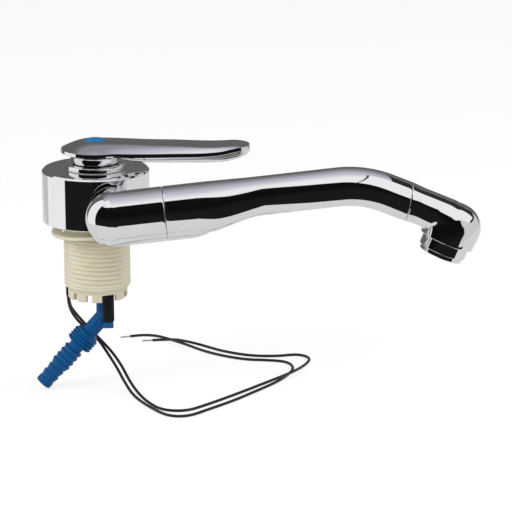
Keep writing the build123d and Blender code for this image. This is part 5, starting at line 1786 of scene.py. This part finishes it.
    def tube(self) -> Patch:
        """Belly, straight run, bend and a short run up to the slanting second seam."""
        start = self.seam_1 + self.seam_gap / 2
        straight_rings, bend_rings, end_rings, near_seam = 76, 24, 7, [0.965, 0.98, 0.99, 1.0]
        beside = np.array(self.seam_rows)
        x = np.concatenate([start + beside[:-1],
                            np.linspace(start + beside[-1], self.bend_start, straight_rings)])
        turn = np.radians(np.linspace(0.0, self.bend, bend_rings)[1:])[:, None]
        run = np.concatenate([np.linspace(0.0, 1.0, end_rings)[1:-1], near_seam])[:, None]
        cosine, sine = np.cos(self.TURN), np.sin(self.TURN)
        tilt = math.tan(math.radians(self.seam_tilt))
        skins = []
        for inset, rounding in ((0.0, 1.0), (self.wall, 0.0)):
            radius = self.tube_r - inset
            out = self.bend_r + radius * sine
            bend = np.stack([self.bend_start + np.sin(turn) * out,
                             np.broadcast_to(radius * cosine, (len(turn), len(sine))),
                             self.rise - self.bend_r + np.cos(turn) * out], -1)
            end = self.seam_2 - radius * sine * tilt - self.seam_gap / 2
            way = run * end
            edge = radius - self.seam_edge(end - way) * rounding
            last = np.stack([way, edge * cosine, edge * sine], -1)
            skins.append(np.concatenate([self.root_ring(x, inset, self.seam_edge(x - start) * rounding),
                                         self.root.out(bend), self.tip_place(0.0).out(last)]))
        return walled(*skins)

    def tip_place(self, run: float) -> Place:
        """Frame on the nozzle's axis.

        Args:
            run: How far past the end of the bend it is.

        Returns:
            The frame, with x along the nozzle.
        """
        turn = math.radians(self.bend)
        x = self.bend_start + self.bend_r * math.sin(turn) + run * math.cos(turn)
        z = self.rise - self.bend_r * (1 - math.cos(turn)) - run * math.sin(turn)
        return self.root.inner(x, z, -self.bend)

    def head_distance(self, point: np.ndarray) -> np.ndarray:
        """Signed distance to the nozzle: a tube joined to a rounded upright head.

        The two are joined by a soft minimum. It is tight under the tube, where a crease
        shows, and on top, and wide at the sides and the front, where one form flows
        into the other.

        Args:
            point: Points in the outlet's frame.

        Returns:
            Distance, negative inside.
        """
        x, y, z = point[..., 0], point[..., 1], point[..., 2]
        slim = smooth_step(x, *self.slim)
        flare = smooth_step(x, *self.flare)
        radius = self.tube_r + (self.nozzle_r - self.tube_r) * slim + (self.flare_r - self.nozzle_r) * flare
        past = np.maximum(x + self.tube_end, 0.0)
        tube = np.sqrt(past ** 2 + y ** 2 + (z + self.flare_drop * flare) ** 2) - radius
        round_r = self.head_r - self.head_flat
        side_z = self.head_top - round_r
        low = smooth_step(-z, -side_z, self.skirt_low)
        reach = self.head_flat + (self.skirt_r - self.head_r) * low
        front = 1 - self.narrow_loss * smooth_step(x, *self.narrow_x)
        narrow = 1 + self.head_narrow * smooth_step(z, *self.narrow_z) * front
        past_flat = np.maximum(np.sqrt(x ** 2 + (y * narrow) ** 2) - reach, 0.0)
        head = np.sqrt(past_flat ** 2 + np.maximum(z - side_z, 0.0) ** 2) - round_r
        least, more = self.join
        wide = np.maximum(smooth_step(z, *self.join_z), smooth_step(x, *self.join_x))
        width = least + more * wide * (1 - self.join_loss * smooth_step(z, *self.join_top))
        return np.maximum(-soft_max(-tube, -head, width), -z - self.skirt_low - 1.0)

    def head_ring(self, centre: np.ndarray, lift: np.ndarray) -> np.ndarray:
        """Reach of the rings round the nozzle, by halving steps along rays from their centres.

        Args:
            centre: Centre of each ring, as x and z of the outlet's frame.
            lift: Direction in each ring's plane that counts as up, as x and z.

        Returns:
            Distance from the centre to the surface, for each ring and angle.
        """
        longest, halvings = 30.0, 36
        near = np.zeros((len(centre), len(self.TURN)))
        far = np.full_like(near, longest)
        for _ in range(halvings):
            middle = (near + far) / 2
            inside = self.head_distance(self.ray(centre, lift, middle)) < 0
            near = np.where(inside, middle, near)
            far = np.where(inside, far, middle)
        return (near + far) / 2

    def ray(self, centre: np.ndarray, lift: np.ndarray, reach: np.ndarray) -> np.ndarray:
        """Points round the rings.

        Args:
            centre: Centre of each ring, as x and z of the outlet's frame.
            lift: Direction in each ring's plane that counts as up, as x and z.
            reach: Distance from the centre, for each ring and angle.

        Returns:
            The points.
        """
        up = reach * np.sin(self.TURN)
        return np.stack([centre[:, :1] + lift[:, :1] * up, reach * np.cos(self.TURN),
                         centre[:, 1:] + lift[:, 1:] * up], -1)

    def nozzle(self) -> Patch:
        """Nozzle from the second seam over the head to the skirt's lower edge.

        Its rings stand upright on the tube, swing about the hinge through a quarter
        turn over the head, and then lie level one below the other down the skirt.
        """
        seam = self.seam_2 - self.outlet_run + self.seam_gap / 2
        hinge_x, hinge_z = self.hinge
        base, more = self.swing
        near_seam, tube_rings, head_rings, thicker = [0.0, 0.008, 0.02, 0.04], 26, 72, 12
        share = np.concatenate([near_seam, np.linspace(2 * near_seam[-1], 1.0, tube_rings)])[:, None]
        turn = np.radians(np.linspace(90.0, 0.0, head_rings)[1:])[:, None]
        along = np.hstack([np.cos(turn), np.sin(turn)])
        drop = np.array(self.skirt_rows)[:, None]
        upright, swung, level = len(share), len(turn), len(drop)
        centre = np.vstack([
            np.hstack([seam + (hinge_x - seam) * share, np.zeros_like(share)]),
            np.array(self.hinge) + along * (base + more * np.cos(turn)),
            np.hstack([np.full_like(drop, hinge_x + base + more), hinge_z - drop]),
        ])
        lift = np.vstack([np.tile([0.0, 1.0], (upright, 1)), along, np.tile([1.0, 0.0], (level, 1))])
        reach = self.head_ring(centre, lift)
        wall = np.concatenate([np.full(upright + swung - thicker, self.wall),
                               np.linspace(self.wall, self.skirt_wall, thicker),
                               np.full(level, self.skirt_wall)])[:, None]
        turn_in = np.zeros((len(centre), 1))
        turn_in[-len(self.skirt_edge):, 0] = self.skirt_edge
        outer = self.ray(centre, lift, reach - turn_in)
        inner = self.ray(centre, lift, reach - wall)
        slope = math.tan(math.radians(self.seam_tilt))
        for grid in (outer, inner):
            tilted = grid[:upright]
            tilted[..., 0] -= tilted[..., 2] * slope * (1 - share)
        soft = self.seam_edge(share * (hinge_x - seam))
        outer[:upright, :, 1:] *= (1 - soft / reach[:upright])[..., None]
        return walled(outer, inner).placed(self.tip_place(self.outlet_run))

    def ring(self) -> Patch:
        """Stepped ring that screws into the skirt and holds the aerator."""
        line = rounded(self.ring_line, self.ring_edges)
        return lathe(line, segments=200).placed(self.tip_place(self.outlet_run))

    def build(self, paint: Paint) -> list[bpy.types.Object]:
        """Make the four chromed pieces of the spout, in their material.

        Args:
            paint: The materials.

        Returns:
            The new objects.
        """
        rows = [("elbow_skin", self.elbow(), "spout_elbow"), ("tube_skin", self.tube(), "spout_tube"),
                ("nozzle_skin", self.nozzle(), "spout_nozzle"), ("outlet_skin", self.ring(), "aerator_ring")]
        return [paint.dress(patch.piece(name, crease=50.0), Slot.CHROME, "spout", node)
                for name, patch, node in rows]


# Inlet


@dataclass(frozen=True)
class Inlet:
    """Blue hose connector with its barbs, and the black sleeve on the spare tube.

    Attributes:
        bend: Where pipe and tail meet. Lengths are in millimetres.
        slant: Angle of the tail from straight down, in degrees.
        bore_r: Radius of the bore.
        pipe_r: Outer radius of pipe and knuckle.
        pipe_top: Level of the pipe's open end.
        pipe_edges: Rounding of the pipe's corners, from the top of its socket and round.
        socket_r: Radius of the socket for the cold tube.
        socket_low: Level of its floor.
        collar_r: Radius of the collar that the ridges stand on.
        ridge_r: Radius over the ridges.
        neck_r: Radius of the plain neck.
        barb_r: Radius over the upper, wider barbs.
        barb_root: Radius between them.
        tip_barb_r: Radius over the lower, thinner barbs.
        tip_root: Radius between them.
        tail_r: Radius of the plain end.
        collar: Runs from the bend between which the pipe widens to the collar.
        ridges: Number of ridges, run of the first and pitch.
        ridge: Runs on one ridge where its top starts, where it ends, and of its foot.
        neck: Runs of the neck's ends.
        barbs: Number of upper barbs, run of the first and pitch.
        barb: Runs on one barb where its top ends, and of its foot.
        tip_start: Run where the thinner part starts.
        tip_barbs: The same as barbs, for the lower ones.
        tip_barb: The same as barb, for a lower one.
        tail: Runs of the plain end.
        tail_edge: Rounding of the tail's corners.
        foot_x: Range of X of the foot under the sleeve.
        foot_y: Its range of Y.
        foot_edge: Rounding of its corners, seen from above.
        foot_rows: Share of its width and level, from below.
        sleeve_at: Axis of the sleeve.
        sleeve_line: Radius and level of the sleeve.
        sleeve_edges: Rounding of its corners.
    """

    bend: Triple = (3.6, 0.0, -57.9)
    slant: float = 42.1
    bore_r: float = 2.9
    pipe_r: float = 4.7
    pipe_top: float = -22.0
    pipe_edges: tuple[float, ...] = (0.1, 0.1, 0.1, 0.0, 0.0, 0.3)
    socket_r: float = 3.24
    socket_low: float = -52.5
    collar_r: float = 6.9
    ridge_r: float = 8.0
    neck_r: float = 4.5
    barb_r: float = 5.9
    barb_root: float = 4.9
    tip_barb_r: float = 5.1
    tip_root: float = 4.3
    tail_r: float = 4.8
    collar: Span = (13.0, 14.5)
    ridges: tuple[int, float, float] = (4, 15.5, 2.0)
    ridge: Triple = (0.6, 1.2, 1.8)
    neck: Span = (24.1, 27.0)
    barbs: tuple[int, float, float] = (4, 27.4, 3.5)
    barb: Span = (0.5, 3.2)
    tip_start: float = 41.9
    tip_barbs: tuple[int, float, float] = (2, 42.5, 4.5)
    tip_barb: Span = (0.5, 4.1)
    tail: Span = (51.5, 54.8)
    tail_edge: float = 0.28
    foot_x: Span = (2.5, 8.6)
    foot_y: Span = (-11.1, 0.0)
    foot_edge: float = 0.8
    foot_rows: Table = ((0.0, -62.7), (0.97, -62.7), (1.0, -62.5), (1.0, -59.3), (0.97, -59.1),
                        (0.0, -59.1))
    sleeve_at: Triple = (5.7, -8.5, 0.0)
    sleeve_line: Table = ((0.0, -59.0), (3.45, -59.0), (3.45, -24.0), (2.44, -24.0), (2.44, -53.0),
                          (0.0, -53.0))
    sleeve_edges: tuple[float, ...] = (0.0, 0.5, 0.3, 0.1, 0.1, 0.0)

    @staticmethod
    def repeated(row: tuple[int, float, float], shape: Table) -> list[Span]:
        """Outline of equal ridges or barbs, one after the other.

        Args:
            row: How many there are, the run of the first and the pitch.
            shape: Radius and run of each point on one of them.

        Returns:
            Radius and run of every point.
        """
        count, first, pitch = row
        return [(radius, first + pitch * k + run) for k in range(count) for radius, run in shape]

    def tail_line(self) -> list[Span]:
        """Outline of collar, neck and barbs, as radius and run from the bend."""
        rise, fall, foot = self.ridge
        ridge = ((self.collar_r, 0.0), (self.ridge_r, rise), (self.ridge_r, fall), (self.collar_r, foot))
        barb = ((self.barb_r, 0.0), (self.barb_r, self.barb[0]), (self.barb_root, self.barb[1]))
        tip_barb = ((self.tip_barb_r, 0.0), (self.tip_barb_r, self.tip_barb[0]),
                    (self.tip_root, self.tip_barb[1]))
        return [
            (self.bore_r, 0.0), (self.pipe_r, 0.0), (self.pipe_r, self.collar[0]),
            (self.collar_r, self.collar[1]), *self.repeated(self.ridges, ridge),
            (self.neck_r, self.neck[0]), (self.neck_r, self.neck[1]), *self.repeated(self.barbs, barb),
            (self.tip_root, self.tip_start), *self.repeated(self.tip_barbs, tip_barb),
            (self.tail_r, self.tail[0]), (self.tail_r, self.tail[1]), (self.bore_r, self.tail[1]),
        ]

    def connector(self) -> Patch:
        """Slanting tail, upright pipe with its socket, the knuckle between them and the foot."""
        slant = math.radians(self.slant)
        x, y, low = self.bend
        tail = lathe(rounded(self.tail_line(), self.tail_edge, 4), self.bend,
                     (-math.sin(slant), 0.0, -math.cos(slant)), segments=128)
        line = [(self.socket_r, self.pipe_top), (self.socket_r, self.socket_low),
                (self.bore_r, self.socket_low), (self.bore_r, low), (self.pipe_r, low),
                (self.pipe_r, self.pipe_top)]
        pipe = lathe(rounded(line, self.pipe_edges, 4), (x, y, 0.0), segments=128)
        knuckle_points = 40
        swing = np.linspace(-np.pi / 2, np.pi / 2, knuckle_points)
        knuckle = lathe(self.pipe_r * np.column_stack([np.cos(swing), np.sin(swing)]), self.bend,
                        segments=128, closed=False)
        plan = rounded(oblong(self.foot_x, self.foot_y), self.foot_edge)
        middle = plan.mean(0)
        foot = np.array([np.column_stack([middle + (plan - middle) * share, np.full(len(plan), z)])
                         for share, z in self.foot_rows])
        block = Patch(foot.reshape(-1, 3), grid_faces(len(self.foot_rows), len(plan)))
        return tail + pipe + knuckle + block

    def build(self, paint: Paint) -> list[bpy.types.Object]:
        """Make connector and sleeve, in their materials.

        Args:
            paint: The materials.

        Returns:
            The new objects.
        """
        connector = self.connector().piece("connector_skin", crease=34.0)
        sleeve = lathe(rounded(self.sleeve_line, self.sleeve_edges, 5, False), self.sleeve_at,
                       segments=96, closed=False)
        return [paint.dress(connector, Slot.BLUE, "base", "hose_connector"),
                paint.dress(sleeve.piece("sleeve_skin"), Slot.BLACK_RUBBER, "base", "blanking_sleeve")]


def main() -> None:
    """Build the studio, the wires and then every other piece."""
    logging.basicConfig(level=logging.INFO, format="%(message)s")
    Studio().build()
    paint = Paint()
    LOG.info("dressed %d nodes", paint.carry_over())
    for maker in (SwitchWires(), Shank(), Body(), Lever(), Spout(), Inlet()):
        for piece in maker.build(paint):
            LOG.info("%s: %s", type(maker).__name__, piece.name)


if __name__ == "__main__":
    main()
